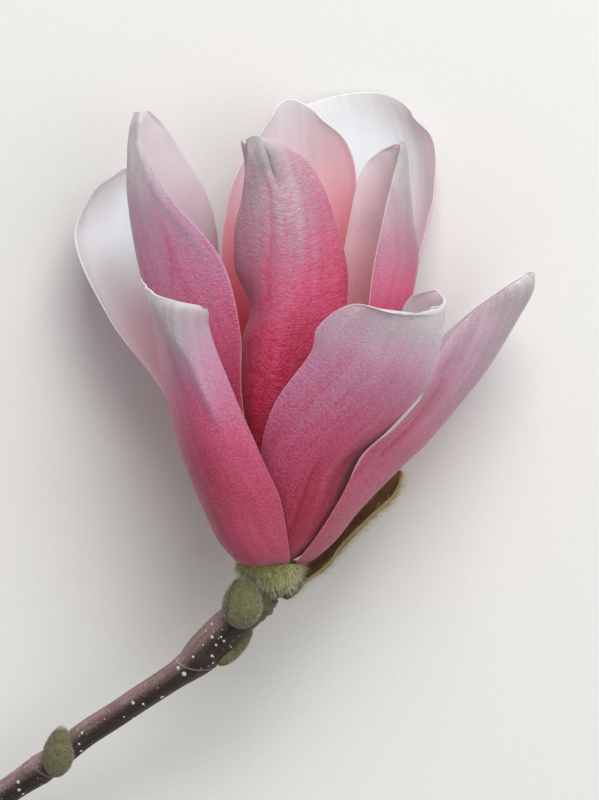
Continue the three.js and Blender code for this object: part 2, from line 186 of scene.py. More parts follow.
def calculate(tree, operation, *values):
    inputs = dict(enumerate(values))
    return addNode(tree, "ShaderNodeMath", inputs, operation=operation).outputs[0]


def product(tree, one, other):
    return calculate(tree, "MULTIPLY", one, other)


def summed(tree, value, factor, other):    # value times factor, plus other
    return calculate(tree, "MULTIPLY_ADD", value, factor, other)


def scaled(tree, vector, scale):
    return addNode(tree, "ShaderNodeVectorMath", {0: vector, 1: scale}, operation="MULTIPLY").outputs[0]


def noise(tree, vector, **settings):
    return addNode(tree, "ShaderNodeTexNoise", {"Vector": vector, "Scale": 1, **settings}).outputs["Fac"]


def objectPlace(tree):
    return addNode(tree, "ShaderNodeTexCoord").outputs["Object"]


def stretched(tree, value, low, high, toLow=0.0, toHigh=1.0):
    inputs = {0: value, 1: low, 2: high, 3: toLow, 4: toHigh}
    return addNode(tree, "ShaderNodeMapRange", inputs, interpolation_type="SMOOTHSTEP").outputs[0]


def blended(tree, factor, one, other, way="MIX"):
    inputs = {0: factor, 6: one, 7: other}
    return addNode(tree, "ShaderNodeMix", inputs, data_type="RGBA", blend_type=way).outputs[2]


def overlaid(tree, skin, tone, mask, share=None):    # a screen colour over the skin where the mask is
    return blended(tree, mask if share is None else product(tree, mask, share), skin, colour(*tone))


def colourRamp(tree, factor, stops):
    made = addNode(tree, "ShaderNodeValToRGB", {0: factor})
    elements = made.color_ramp.elements
    for index, (place, value) in enumerate(stops):
        element = elements[index] if index < 2 else elements.new(place)
        element.position = place
        element.color = colour(*value)
    return made.outputs[0]


def attribute(tree, label):
    return addNode(tree, "ShaderNodeAttribute", attribute_name=label).outputs["Fac"]


def addBump(tree, shader, strength, depth, height):
    bump = addNode(tree, "ShaderNodeBump", {"Strength": strength, "Distance": depth, "Height": height})
    tree.links.new(bump.outputs[0], shader.inputs["Normal"])


def nodeGroup(name, kind, inputs, outputs):    # the sockets are pairs of a label and a kind
    group = bpy.data.node_groups.new(name, kind)
    for direction, sockets in (("INPUT", inputs), ("OUTPUT", outputs)):
        for label, value in sockets:
            group.interface.new_socket(label, in_out=direction, socket_type="NodeSocket" + value)
    return group, group.nodes.new("NodeGroupInput").outputs, group.nodes.new("NodeGroupOutput").inputs


def newMaterial(name, **surface):
    material = bpy.data.materials.new(name)
    material.use_nodes = True
    tree = material.node_tree
    shader = tree.nodes["Principled BSDF"]
    for label, value in surface.items():
        shader.inputs[label].default_value = value
    return material, tree, shader


def named(tree, label, kind):
    return addNode(tree, "GeometryNodeInputNamedAttribute", {"Name": label}, data_type=kind).outputs[0]


def placeInstances(tree, given, put, points, shape, rotation, scale):    # ends a tree that repeats a shape
    shape = addNode(tree, "GeometryNodeObjectInfo", {"Object": shape}).outputs["Geometry"]
    inputs = {"Points": points, "Instance": shape, "Rotation": rotation, "Scale": scale}
    placed = addNode(tree, "GeometryNodeInstanceOnPoints", inputs)
    solid = addNode(tree, "GeometryNodeRealizeInstances", {"Geometry": placed.outputs[0]})
    inputs = {"Geometry": solid.outputs[0], "Material": given["Finish"]}
    dressed = addNode(tree, "GeometryNodeSetMaterial", inputs)
    tree.links.new(dressed.outputs[0], put["Geometry"])
    return tree


def grown(name, base, tree, values):
    # runs the tree on the base's mesh and returns what it makes as a plain mesh object
    modifier = base.modifiers.new("grow", "NODES")
    modifier.node_group = tree
    for item in tree.interface.items_tree:
        if item.item_type == "SOCKET" and item.in_out == "INPUT" and item.name in values:
            modifier[item.identifier] = values[item.name]
    bpy.context.view_layer.update()
    graph = bpy.context.evaluated_depsgraph_get()
    mesh = bpy.data.meshes.new_from_object(base.evaluated_get(graph), depsgraph=graph)
    base.modifiers.remove(modifier)
    mesh.name = name
    finishes = [material for material in mesh.materials if material]    # drops the base's empty slot
    mesh.materials.clear()
    for material in finishes:
        mesh.materials.append(material)
    mesh.polygons.foreach_set("material_index", [0] * len(mesh.polygons))
    return inScene(name, mesh)


def discard(thing):
    bpy.data.objects.remove(thing)


# camera: straight above, as the branch lies on its back with its front upward
cameraView = {"place": tuple(fromFoot((5.796, 30.782, 1200))), "lens": 284.2, "sensor": 36,
              "width": 599, "height": 800}


def makeCamera():
    lens = bpy.data.cameras.new("camera")
    lens.lens = cameraView["lens"]
    lens.sensor_width = cameraView["sensor"]
    camera = inScene("camera", lens)
    camera.location = cameraView["place"]
    bpy.context.scene.camera = camera


def sightLine(across, down):    # direction in which the camera sees a pixel of the photograph
    scale = cameraView["sensor"] / cameraView["lens"] / cameraView["height"]
    return Vector(((across - cameraView["width"] / 2) * scale, (cameraView["height"] / 2 - down) * scale, -1))


# floor and light
studio = {
    "floorSize": 3.0, "floorGap": 0.02 * mm, "floorColour": (232, 231, 228), "floorGrain": 900,
    "ambient": 0.4,
    "key": {"place": (0.2, 0.8, 0.8), "size": 0.7, "power": 9.2},
    "fill": {"place": (0.5, 0.1, 0.85), "size": 0.8, "power": 2.9},
}


def makeStudio():
    half = studio["floorSize"] / 2
    level = cadLow.z - studio["floorGap"]
    corners = [[-half, -half, level], [half, -half, level], [half, half, level], [-half, half, level]]
    floor = newObject("floor", np.array(corners), [[0, 1, 2, 3]])
    material, tree, shader = newMaterial("pale floor", Roughness=0.9)
    grain = noise(tree, objectPlace(tree), Scale=studio["floorGrain"], Detail=2)
    light, paintedCreaseShade = colour(*studio["floorColour"]), colour(*[part - 5 for part in studio["floorColour"]])
    tree.links.new(blended(tree, grain, light, paintedCreaseShade), shader.inputs["Base Color"])
    floor.data.materials.append(material)
    for name in ("key", "fill"):
        values = studio[name]
        lamp = bpy.data.lights.new(name, "AREA")
        lamp.size = values["size"]
        lamp.energy = values["power"]
        holder = inScene(name, lamp)
        holder.location = values["place"]
        holder.rotation_euler = (-Vector(values["place"])).to_track_quat("-Z", "Y").to_euler()
    world = bpy.data.worlds.new("soft room")
    world.use_nodes = True
    light = world.node_tree.nodes["Background"].inputs
    light["Color"].default_value = (1, 1, 1, 1)
    light["Strength"].default_value = studio["ambient"]
    bpy.context.scene.world = world
    bpy.context.scene.view_settings.view_transform = "Standard"


makeCamera()
makeStudio()
print("camera and studio ready")

# Tepals. Bearings go round the flower from its right side (0) over its back (90) and left (180) to its front.
whorls = {
    "outer": {"radius": 6.3, "height": 0, "halfAngle": 44},
    "middle": {"radius": 4.9, "height": 0.6, "halfAngle": 47},
    "inner": {"radius": 3.5, "height": 2.4, "halfAngle": 46},
}

# Rails are millimetres from the flower's foot. Tints are those of the left rim, the midrib and the right rim,
# each in five steps from foot to tip, 0 for white to 1 for crimson; they are the tepal's own colour and also
# hold painted shade, deeper where a tepal lies in shadow.
# A fold is a line on the blade through (across, along, reach to the left, reach to the right) stations, the
# reaches in millimetres: how far it rises at its crest, how much it deepens the tint there (painted shade
# where it deepens, a painted highlight where it lightens), and how far the skin there turns grey as painted
# shade.
# A dip lowers the tip's edge: its place and width across, its depth and how far down it begins.
tepals = {
    "outer_tepal_left": {
        "whorl": "outer", "bearing": 140, "slot": "pale_tepal", "seed": 3,
        "left": [(-6, 9, -9.5), (-4.5, 18, -13), (-8, 32, -18), (-11, 47, -21), (-12, 61, -22.5),
            (-13.5, 70, -23.5), (-16.5, 74, -24.5)],
        "midrib": [(-9, 9, -7), (-10.5, 18, -10.5), (-17.5, 32, -16.5), (-24.5, 47, -22.5),
            (-29, 61.5, -27.5), (-27.5, 71.5, -28), (-23, 76.5, -26)],
        "right": [(-10.5, 9, -1.5), (-13.5, 18, -3.5), (-20.2, 32.1, -5.5), (-30.8, 46.2, -8),
            (-37.6, 61, -12), (-35, 70, -17), (-29.5, 75.2, -21)],
        "outerTint": [(0.9, 0.7, 0.5, 0.2, 0.05), (1, 0.85, 0.6, 0.3, 0.05), (0.9, 0.7, 0.4, 0.12, 0)],
        "innerTint": [(0.9, 0.66, 0.5, 0.14, 0.04), (0.9, 0.66, 0.42, 0.02, 0), (0.9, 0.6, 0.24, 0, 0.04)],
        "folds": [
            {"line": [(0.86, 0.45, 1, 1), (0.88, 0.6, 1.4, 1.2), (0.86, 0.75, 2, 1.4),
                (0.78, 0.88, 2.2, 1.6), (0.6, 1, 2.4, 2)], "grey": 0.4},
        ],
    },
    "outer_tepal_front": {
        "whorl": "outer", "bearing": 249, "halfAngle": 58, "slot": "rose_tepal", "seed": 5,
        "left": [(-6.8, 1.2, 2), (-9.5, 4.8, 2.8), (-12.7, 11.3, 4), (-16.2, 20.4, 6), (-19.4, 31.7, 9),
            (-21.2, 42.1, 13.5), (-22.1, 47.3, 17), (-23.9, 53.5, 20)],
        "midrib": [(-3.6, 0.3, 9.5), (-6.7, 4.3, 12.5), (-9.3, 11.1, 15), (-13, 20.1, 18.5),
            (-15.8, 31.3, 23), (-17.5, 41.5, 28), (-18.3, 47, 31), (-18.3, 49.7, 31.5)],
        "right": [(3.9, 1.3, 7.5), (3.4, 5.3, 9.2), (2, 12.7, 12.3), (-1.4, 20.5, 15.2), (-6.2, 31.7, 20),
            (-10.3, 42.3, 25), (-11.1, 46.2, 27.3), (-11.5, 48.4, 28.5)],
        "outerTint": [(0.85, 0.84, 0.8, 0.46, 0.14), (0.95, 0.9, 0.86, 0.36, 0.14),
            (0.9, 0.86, 0.78, 0.42, 0.12)],
        "innerTint": 3 * [(0.9, 0.7, 0.4, 0.15, 0.05)],
        "folds": [
            {"line": [(-0.3, 1, 3, 9), (-0.16, 0.89, 3, 8), (0.12, 0.78, 2.4, 6), (0.35, 0.71, 1.6, 3.2),
                (0.46, 0.65, 1, 2), (0.53, 0.6, 0.6, 1.2), (0.56, 0.545, 0.4, 0.7)], "rise": 1.1,
                "tint": -0.14, "grey": 0.06},
            {"line": [(-0.66, 1, 0.3, 0.9), (-0.65, 0.94, 0.3, 0.9), (-0.78, 0.82, 0.3, 0.8),
                (-0.84, 0.72, 0.3, 0.6)], "rise": 0.45, "tint": -0.1},
            {"line": [(-0.35, 0.93, 2, 1.5), (-0.3, 0.8, 2.4, 1.6), (0, 0.68, 2.6, 1.6), (0.3, 0.58, 2, 1)],
                "tint": 0.12, "grey": 0.1},
        ],
        "dip": {"across": 1, "width": 0.14, "depth": 1.1, "from": 0.95},
    },
    "outer_tepal_right": {
        "whorl": "outer", "bearing": 356, "halfAngle": 33, "slot": "rose_tepal", "seed": 7,
        "left": [(6, 1.1, 5.4), (9.2, 5.2, 8), (13.4, 11.9, 9.5), (18.2, 20.3, 10.9), (24.6, 25.9, 10.6),
            (30.4, 32.9, 7.5), (32.2, 39, 4), (37.9, 46.5, 0), (45, 51.8, 0), (48.9, 54.6, -3)],
        "midrib": [(8.8, 1.2, 0), (12.6, 4.6, -0.8), (16.9, 9.9, -2.5), (24.8, 18, -5), (29.8, 22.7, -8),
            (35.8, 29.6, -10), (41.8, 37.2, -11), (47.3, 46.2, -10), (50.2, 51.6, -8), (50.5, 55, -5)],
        "right": [(6.9, 1.2, -4.2), (8.8, 5, -6), (12.2, 10.8, -9), (19.5, 19, -16), (25, 24.3, -21),
            (29.8, 31, -25.8), (32.6, 41, -28.3), (38.5, 47.2, -26.4), (45.3, 52.4, -17), (49.2, 55.1, -7)],
        "outerTint": [(0.92, 0.88, 0.7, 0.28, 0.04), (0.96, 0.9, 0.72, 0.28, 0.02),
            (0.96, 0.88, 0.68, 0.26, 0)],
        "innerTint": [(0.8, 0.7, 0.5, 0.4, 0.3), (0.8, 0.6, 0.35, 0.3, 0.1), (0.8, 0.6, 0.35, 0.2, 0)],
        "folds": [
            {"line": [(-0.86, 0.72, 0.5, 0.9), (-0.9, 0.6, 0.5, 1), (-0.86, 0.48, 0.6, 1.1),
                (-0.8, 0.38, 0.5, 1)], "rise": -0.4, "tint": 0.1},
            {"line": [(-0.95, 0.5, 0.6, 1), (-0.9, 0.62, 1.2, 2.4), (-0.88, 0.72, 1.2, 2.6),
                (-0.95, 0.8, 0.6, 1.4)], "tint": 0.08, "grey": 0.4},
            {"line": [(-0.5, 0.5, 5, 7), (-0.4, 0.75, 6, 8), (0, 1, 4, 5)], "grey": 0.24},
        ],
    },
    "middle_tepal_left": {
        "whorl": "middle", "bearing": 188, "slot": "rose_tepal", "seed": 11,
        "left": [(-6.5, 18, -7.5), (-10, 32, -10), (-11, 44, -11), (-9.8, 58, -11), (-11.8, 69, -10),
            (-17, 78.2, -8), (-20.1, 83.1, -5.5), (-23.2, 85.9, -2.5)],
        "midrib": [(-11, 18, 2), (-17.5, 32, 2), (-21, 44, 2), (-24.8, 58, 2), (-26.2, 69, 2),
            (-26.1, 77.5, 1.5), (-25.9, 82.3, 1.2), (-25.3, 85.5, 0.8)],
        "right": [(-3.4, 18, 10.3), (-5.1, 32, 12.5), (-5.5, 44, 13.5), (-9.3, 57.5, 14), (-18.8, 69, 12),
            (-23.6, 77.5, 8), (-24.2, 81.8, 5.5), (-23.9, 85.2, 3)],
        "outerTint": [(0.92, 0.88, 0.54, 0.08, 0), (0.98, 0.9, 0.5, 0.06, 0), (1, 0.92, 0.52, 0.14, 0)],
        "innerTint": [(0.9, 0.6, 0.3, 0.12, 0.04), (0.9, 0.6, 0.3, 0.12, 0.03), (0.9, 0.6, 0.3, 0.14, 0.1)],
        "folds": [
            {"line": [(0.72, 0.56, 0.3, 0.4), (0.66, 0.513, 0.35, 0.5), (0.59, 0.47, 0.35, 0.5),
                (0.49, 0.42, 0.3, 0.4)], "rise": -0.12, "tint": 0.16},
            {"line": [(-0.75, 1, 0.5, 0.8), (-0.6, 0.94, 0.5, 1), (-0.5, 0.86, 0.6, 1)], "rise": -0.3,
                "tint": 0.08},
            {"line": [(0.9, 0.45, 0.5, 0.4), (0.9, 0.55, 0.9, 0.6), (0.84, 0.68, 1, 0.7),
                (0.8, 0.85, 1.2, 0.8), (0.7, 1, 1.4, 1)], "tint": -0.06, "grey": 0.35},
        ],
    },
    "middle_tepal_back": {
        "whorl": "middle", "bearing": 62, "slot": "pale_tepal", "seed": 13,
        "left": [(10.5, 18, -4.5), (24, 38, -8), (29, 58, -14), (32, 70, -19), (32.2, 80.2, -22),
            (28, 86, -24)],
        "midrib": [(6, 18, -10.5), (17, 38, -20), (22, 58, -26), (24, 70, -28.1), (23.5, 81, -27.9),
            (20.2, 90.5, -26)],
        "right": [(0, 18, -12), (1, 38, -18), (2, 58, -21), (3, 70, -22), (3.5, 80, -22.5),
            (6.3, 87.7, -23)],
        "outerTint": [(0.9, 0.7, 0.5, 0.2, 0.03), (1, 0.8, 0.55, 0.3, 0.05), (0.9, 0.7, 0.5, 0.2, 0.03)],
        "innerTint": [(0.9, 0.7, 0.45, 0.3, 0.14), (0.9, 0.6, 0.28, 0.12, 0.1), (0.9, 0.6, 0.28, 0.1, 0.1)],
        "folds": [
            {"line": [(-0.7, 0.5, 3, 3), (-0.66, 0.7, 3.5, 4), (-0.5, 0.85, 4, 5), (-0.2, 1, 6, 6)],
                "grey": 0.3},
        ],
    },
    "middle_tepal_front": {
        "whorl": "middle", "bearing": 300, "slot": "rose_tepal", "seed": 17,
        "left": [(-1.1, 2.4, 5.4), (-0.8, 4.7, 6.2), (-0.2, 10, 8), (-1.5, 20, 12), (1.1, 29.8, 19),
            (7.8, 39.1, 25.5), (9.4, 44.2, 29), (15.4, 48.2, 30.5), (24.1, 46.7, 27), (31.5, 47.9, 20)],
        "midrib": [(4.2, 2.2, 5.9), (6, 4.4, 7.4), (8.4, 9.6, 9.4), (12.3, 19, 12), (19.6, 26.2, 13.6),
            (27.6, 34.4, 17), (30.6, 41.7, 19), (32.2, 45.3, 18.5), (32.7, 47.5, 17.5), (33, 49.4, 16.5)],
        "right": [(7.1, 2.1, 1.2), (9.5, 4.5, 0.9), (13.2, 10, 0.4), (17.1, 20, 0.6), (21.5, 26, 2.2),
            (25.6, 33, 5.2), (26.6, 40.5, 8), (25, 46.2, 8.5), (27, 50.4, 11), (31.4, 51.6, 14)],
        "outerTint": [(1, 1, 0.64, 0.28, 0.06), (1, 1, 0.74, 0.08, 0), (1, 1, 0.92, 0, 0)],
        "innerTint": [(0.9, 0.7, 0.3, 0.1, 0.05), (0.9, 0.6, 0.3, 0.1, 0.05), (0.9, 0.6, 0.3, 0.1, 0.05)],
        "folds": [
            {"line": [(-0.27, 0.42, 0.4, 0.9), (-0.31, 0.37, 0.5, 0.9), (-0.38, 0.32, 0.5, 0.9),
                (-0.46, 0.24, 0.4, 0.8), (-0.5, 0.16, 0.3, 0.5)], "rise": -0.45, "tint": 0.16},
            {"line": [(0.25, 0.46, 0.6, 1), (0.15, 0.36, 0.6, 1), (0.1, 0.26, 0.5, 0.8)], "rise": -0.4,
                "tint": 0.14},
            {"line": [(-0.62, 0.66, 0.5, 1.2), (-0.5, 0.58, 0.6, 1.4), (-0.35, 0.5, 0.5, 1.2)], "rise": 0.3,
                "tint": -0.06},
            {"line": [(0.3, 0.68, 1.2, 2.6), (0.2, 0.62, 1.4, 3), (0.05, 0.56, 1.2, 2.4)], "rise": 0.35,
                "tint": -0.12},
        ],
    },
    "inner_tepal_front": {
        "whorl": "inner", "bearing": 262, "slot": "deep_tepal", "seed": 19,
        "left": [(-3.4, 21, 6), (-5.4, 30.8, 6.8), (-5.2, 41.5, 7.2), (-3.8, 48, 7.3), (-6.5, 54.9, 7.6),
            (-6.8, 61.9, 8), (-5.4, 68.9, 8), (-4.9, 75.1, 8), (-5.2, 80, 8)],
        "midrib": [(-0.5, 21, 9), (0.6, 30.8, 12), (2.1, 41.1, 14.3), (3.1, 48, 15.3), (3.5, 55.2, 15.6),
            (3.3, 62.1, 15.6), (2.3, 68.9, 14.6), (0.2, 75, 12.2), (-1.8, 80.1, 9.5)],
        "right": [(5.5, 21, 6), (10.6, 30.8, 6.5), (14, 41.5, 7), (15, 48.3, 7), (15.1, 55.3, 7),
            (13.7, 61.9, 7.3), (11.6, 68.5, 8), (7.7, 75.7, 8.6), (2.1, 79.6, 9.2)],
        "outerTint": [(1, 1, 0.62, 0.38, 0.14), (1, 0.94, 0.64, 0.36, 0.14), (1, 1, 0.86, 0.62, 0.3)],
        "innerTint": 3 * [(0.95, 0.8, 0.6, 0.4, 0.2)],
        "folds": [
            {"line": [(0.7, 0.5, 4, 2), (0.7, 0.7, 4, 2), (0.6, 0.88, 3, 2)], "tint": 0.06, "grey": 0.15},
            {"line": [(-0.08, 1, 3, 0.25), (-0.08, 0.94, 2.6, 0.3), (-0.12, 0.88, 1.6, 0.5),
                (-0.22, 0.81, 1, 0.8)], "rise": 0.7, "tint": -0.04, "grey": 0.5},
            {"line": [(0.04, 0.98, 0.2, 2.6), (0.04, 0.93, 0.25, 2), (0, 0.88, 0.4, 1.6), (0, 0.8, 0.6, 2)],
                "rise": -0.6, "tint": 0.04, "grey": 0.75},
            {"line": [(-0.2, 0.86, 0.6, 0.8), (-0.25, 0.78, 0.8, 1), (-0.28, 0.67, 0.9, 1.1),
                (-0.33, 0.55, 0.9, 1.1), (-0.38, 0.42, 0.8, 1)], "rise": -0.3, "tint": 0.15},
            {"line": [(0.32, 0.86, 1, 1.5), (0.24, 0.8, 1.4, 2), (0.2, 0.7, 1.6, 2.4),
                (0.2, 0.58, 1.6, 2.2)], "rise": 0.3, "tint": -0.1},
            {"line": [(-0.5, 1, 0.2, 1.4), (-0.56, 0.94, 0.2, 1.2), (-0.74, 0.88, 0.2, 1),
                (-0.95, 0.8, 0.2, 0.8)], "rise": 0.6, "tint": -0.04},
            {"line": [(-1, 1, 0.1, 1), (-1, 0.92, 0.1, 0.9), (-1, 0.82, 0.1, 0.4)], "tint": 0.4},
        ],
        "dip": {"across": -0.66, "width": 0.2, "depth": 1.1, "from": 0.93},
    },
    "inner_tepal_right": {
        "whorl": "inner", "bearing": 5, "slot": "deep_tepal", "seed": 23, "smooth": 0.7,
        "left": [(6.8, 20, 4), (17, 40, 6), (19.9, 56, 8), (22, 66, 7.5), (24.1, 74, 5.5),
            (24.9, 77.5, 3.7), (25.2, 79.9, 2)],
        "midrib": [(9.5, 20, -0.5), (23, 40, 0), (27.7, 56, 1), (26.7, 66, 0), (25.8, 74, -0.5),
            (25.7, 77.5, 0), (25.5, 79.6, 0.4)],
        "right": [(6.2, 20, -4.6), (13, 40, -5.5), (14, 56, -5.5), (15.6, 66, -5.5), (17.8, 74.5, -5.5),
            (21.1, 78.1, -4), (24.4, 79.4, -1.6)],
        "outerTint": [(0.95, 0.9, 0.46, 0.08, 0), (0.95, 0.92, 0.48, 0.06, 0), (1, 0.94, 0.54, 0.12, 0)],
        "innerTint": [(0.95, 0.7, 0.42, 0.14, 0), (0.95, 0.7, 0.4, 0.1, 0), (0.95, 0.7, 0.34, 0.06, 0)],
        "folds": [
            {"line": [(-0.4, 0.4, 6, 6), (-0.2, 0.7, 6, 6), (0, 1, 4, 4)], "grey": 0.36},
        ],
    },
    "inner_tepal_back": {
        "whorl": "inner", "bearing": 112, "slot": "pale_tepal", "seed": 29,
        "left": [(4, 20, -7.5), (12, 40, -10.5), (16, 58, -11.5), (17.1, 70, -11.5), (15.3, 80, -12),
            (9.3, 85.7, -12)],
        "midrib": [(0, 20, -8.5), (3, 40, -14), (5, 58, -16), (5, 70, -16), (4.5, 80, -14.5),
            (4, 88.6, -12)],
        "right": [(-6.8, 20, -3.5), (-9, 40, -3.5), (-9.4, 58, -2), (-7.9, 70, -3), (-3.2, 80, -6),
            (1, 86, -9.5)],
        "outerTint": [(1, 0.9, 0.7, 0.4, 0.05), (1, 0.9, 0.75, 0.45, 0.05), (1, 0.95, 0.85, 0.6, 0.05)],
        "innerTint": [(1, 1, 0.74, 0.46, 0.12), (1, 1, 0.68, 0.36, 0.1), (1, 1, 0.68, 0.3, 0.08)],
        "folds": [
            {"line": [(-0.2, 0.4, 8, 8), (-0.2, 0.7, 9, 9), (0, 1, 6, 6)], "grey": 0.12},
        ],
    },
}
blade = {
    "rows": 300, "columns": 64, "crowded": 0.45,    # how much closer together the columns are at the rims
    "body": 0.95, "margin": 0.16, "thinning": 0.5,    # thickness at midrib and rim, and its loss to the tip
    "rimRound": 0.4,    # how far the rim stands out, as a share of its thickness
    "roll": 0.35, "rollWidth": 0.12, "rollFrom": (0.25, 0.5),    # how far the rim rolls in
    "wave": 0.3, "waveFrom": (0.3, 0.6), "waveCounts": (3, 5, 8),    # how far and how often it waves
    "crest": 0.15,    # how round a fold's crest is, as a share of its reach
    "foldStart": (-0.02, 0.08), "foldEnd": (-0.05, 0.02),    # over which stretch a fold begins and ends
    "calm": (0.86, 0.97),    # over which stretch the wrinkles stop before the tip
    "mapScale": 100,    # millimetres to one unit of the growth map
}


def acrossBlade(left, middle, right, across):    # a parabola through both rims and the midrib
    toLeft, toRight = across * (across - 1) / 2, across * (across + 1) / 2
    return left * toLeft + middle * (1 - across ** 2) + right * toRight


def tintOf(rails, across, along):    # five tints along each rail, blended across as the rails are
    share = np.clip(along[:, 0], 0, 1)
    curves = [smoothCurve(np.array(rail)[:, None], share) for rail in rails]
    return np.clip(acrossBlade(*curves, across), 0, 1)


def foldShare(fold, across, along, halfWidth):    # one on the fold's line, falling to nothing beside it
    line = np.array(sorted(fold["line"], key=lambda station: station[1]))
    middle, left, right = (
        np.interp(along[:, 0], line[:, 1], line[:, column])[:, None] for column in (0, 2, 3)
    )
    start, end = line[0, 1], line[-1, 1]
    fade = smoothStep(start + blade["foldStart"][0], start + blade["foldStart"][1], along)
    if end < 1:
        fade = fade * (1 - smoothStep(end + blade["foldEnd"][0], end + blade["foldEnd"][1], along))
    away = (across - middle) * halfWidth
    away = away / np.where(away < 0, left, right)
    return fade * np.exp(blade["crest"] - np.sqrt(away ** 2 + blade["crest"] ** 2))


def outwardOf(surface):    # the side of the blade that faces away from the flower's axis
    return unit(np.cross(np.gradient(surface, axis=1), np.gradient(surface, axis=0)))


def bladeSides(middle, across, along, look):    # the outer and inner skin, thickest at the midrib's foot
    outward = outwardOf(middle)
    fullness = (1 - across ** 2) * (1 - look["thinning"] * along)
    half = (look["margin"] + (look["body"] - look["margin"]) * fullness)[..., None] / 2
    return middle + outward * half, middle - outward * half


def bladeFaces(rows, columns, rims):    # rims: points that the section has at each rim, none or one
    sides = 2 * (columns + 1 + rims)
    faces = loftFaces(rows + 1, sides)
    for start, turned in ((0, False), (rows * sides, True)):
        ends = [[column, sides - 1 - rims - column, sides - 2 - rims - column, column + 1]
                for column in range(columns)]
        if rims:
            ends += [[columns, columns + 2, columns + 1], [0, sides - 1, sides - 2]]
        faces += [[start + place for place in (end[::-1] if turned else end)] for end in ends]
    return faces


def tepalMesh(name, values):
    whorl = whorls[values["whorl"]]
    halfAngle = values.get("halfAngle", whorl["halfAngle"])
    rows, columns = blade["rows"], blade["columns"]
    along = np.linspace(0, 1, rows + 1)[:, None]
    even = np.linspace(-1, 1, columns + 1)[None, :]
    crowded = blade["crowded"]
    across = (1 - crowded) * even + crowded * np.sin(even * math.pi / 2)
    rails = []
    for rail, turn in (("left", -1), ("midrib", 0), ("right", 1)):
        bearing = math.radians(values["bearing"] + turn * halfAngle)
        foot = [whorl["radius"] * math.cos(bearing), whorl["height"], -whorl["radius"] * math.sin(bearing)]
        rails.append(smoothCurve([foot, *values[rail]], along[:, 0])[:, None])
    middle = acrossBlade(*rails, across[..., None])
    steps = np.linalg.norm(np.diff(middle, axis=1), axis=2)
    halfWidth = steps.sum(1, keepdims=True) / 2
    length = np.linalg.norm(np.diff(middle[:, columns // 2], axis=0), axis=1).sum()

    # rims roll in a little and wave, and the folds stand on the blade
    rng = np.random.default_rng(values["seed"])
    nearRim = smoothStep(1 - blade["rollWidth"], 1, np.abs(across)) * smoothStep(*blade["rollFrom"], along)
    wave = sum(
        np.sin(fullTurn * (count * along + rng.random()) + across * rng.normal(0, 1.5)) / count
        for count in blade["waveCounts"]
    )
    wave = blade["wave"] * wave * across ** 2 * smoothStep(*blade["waveFrom"], along)
    rise = -blade["roll"] * nearRim + wave
    folded = [(fold, foldShare(fold, across, along, halfWidth)) for fold in values["folds"]]

    def folding(label):    # what all folds together add to the rise, the tint or the grey
        return sum(fold.get(label, 0) * share for fold, share in folded)

    rise = rise + folding("rise")
    middle = middle + outwardOf(middle) * rise[..., None]
    if "dip" in values:
        dip = values["dip"]
        lowered = np.exp(-(((across - dip["across"]) / dip["width"]) ** 2))
        lowered = lowered * smoothStep(dip["from"], 1, along)
        middle[..., 1] -= dip["depth"] * lowered

    outer, inner = bladeSides(middle, across, along, blade)
    edgeStep = unit(middle[:, [0, -1]] - middle[:, [1, -2]]) * blade["margin"] * blade["rimRound"]
    leftRim, rightRim = middle[:, :1] + edgeStep[:, :1], middle[:, -1:] + edgeStep[:, 1:]

    def profile(onOuter, onRight, onInner, onLeft):    # once round the blade's section
        return np.concatenate([onOuter, onRight, onInner[:, ::-1], onLeft], axis=1)

    points = profile(outer, rightRim, inner, leftRim)
    points[0, :, 1] = whorl["height"]
    points[..., 2] = np.maximum(points[..., 2], lyingLevel)

    flat = across + 0 * along
    full = along + 0 * across
    rimColumn = np.ones((rows + 1, 1))
    acrossRound = profile(flat, rimColumn, flat, -rimColumn)
    alongRound = profile(full, full[:, :1], full, full[:, :1])
    outside = profile(1 + 0 * flat, 0.5 * rimColumn, 0 * flat, 0.5 * rimColumn)
    outerTint, innerTint = (tintOf(values[face], across, along) for face in ("outerTint", "innerTint"))
    # folds deepen the tint along valleys and lighten it on crests: painted shade and painted highlights
    outerTint = outerTint + folding("tint")
    # painted shade: folds turn the skin grey in creases, under rolled rims and where other tepals shade it
    grey = full * 0 + folding("grey")
    grey = profile(grey, grey[:, -1:], grey, grey[:, :1])
    tint = profile(outerTint, outerTint[:, -1:], innerTint, outerTint[:, :1])
    toRim = np.minimum((1 - np.abs(acrossRound)) * halfWidth, (1 - alongRound) * length)
    places = np.stack([acrossRound * halfWidth, alongRound * length], -1) / blade["mapScale"] + (0.5, 0)
    smooth = np.maximum(smoothStep(*blade["calm"], alongRound), values.get("smooth", 0))
    marks = {"outside": outside, "tint": tint, "toRim": toRim, "smooth": smooth, "grey": np.clip(grey, 0, 1)}
    marks = {label: mark.ravel() for label, mark in marks.items()}
    faces = bladeFaces(rows, columns, 1)
    return newObject(name + "_petal", fromFoot(points.reshape(-1, 3)), faces, marks, places.reshape(-1, 2))


silkLook = {
    "veinWidth": 1.8, "grainWidth": 0.26,    # millimetres
    "veinStretch": 0.07,    # the veins' width as a share of their length
    "straightened": 0.0004,    # rounds the peak of the wrinkles' bows
    "crease": 0.09, "fineCrease": 0.12, "finer": 1.9, "coarseShare": 0.6,
}


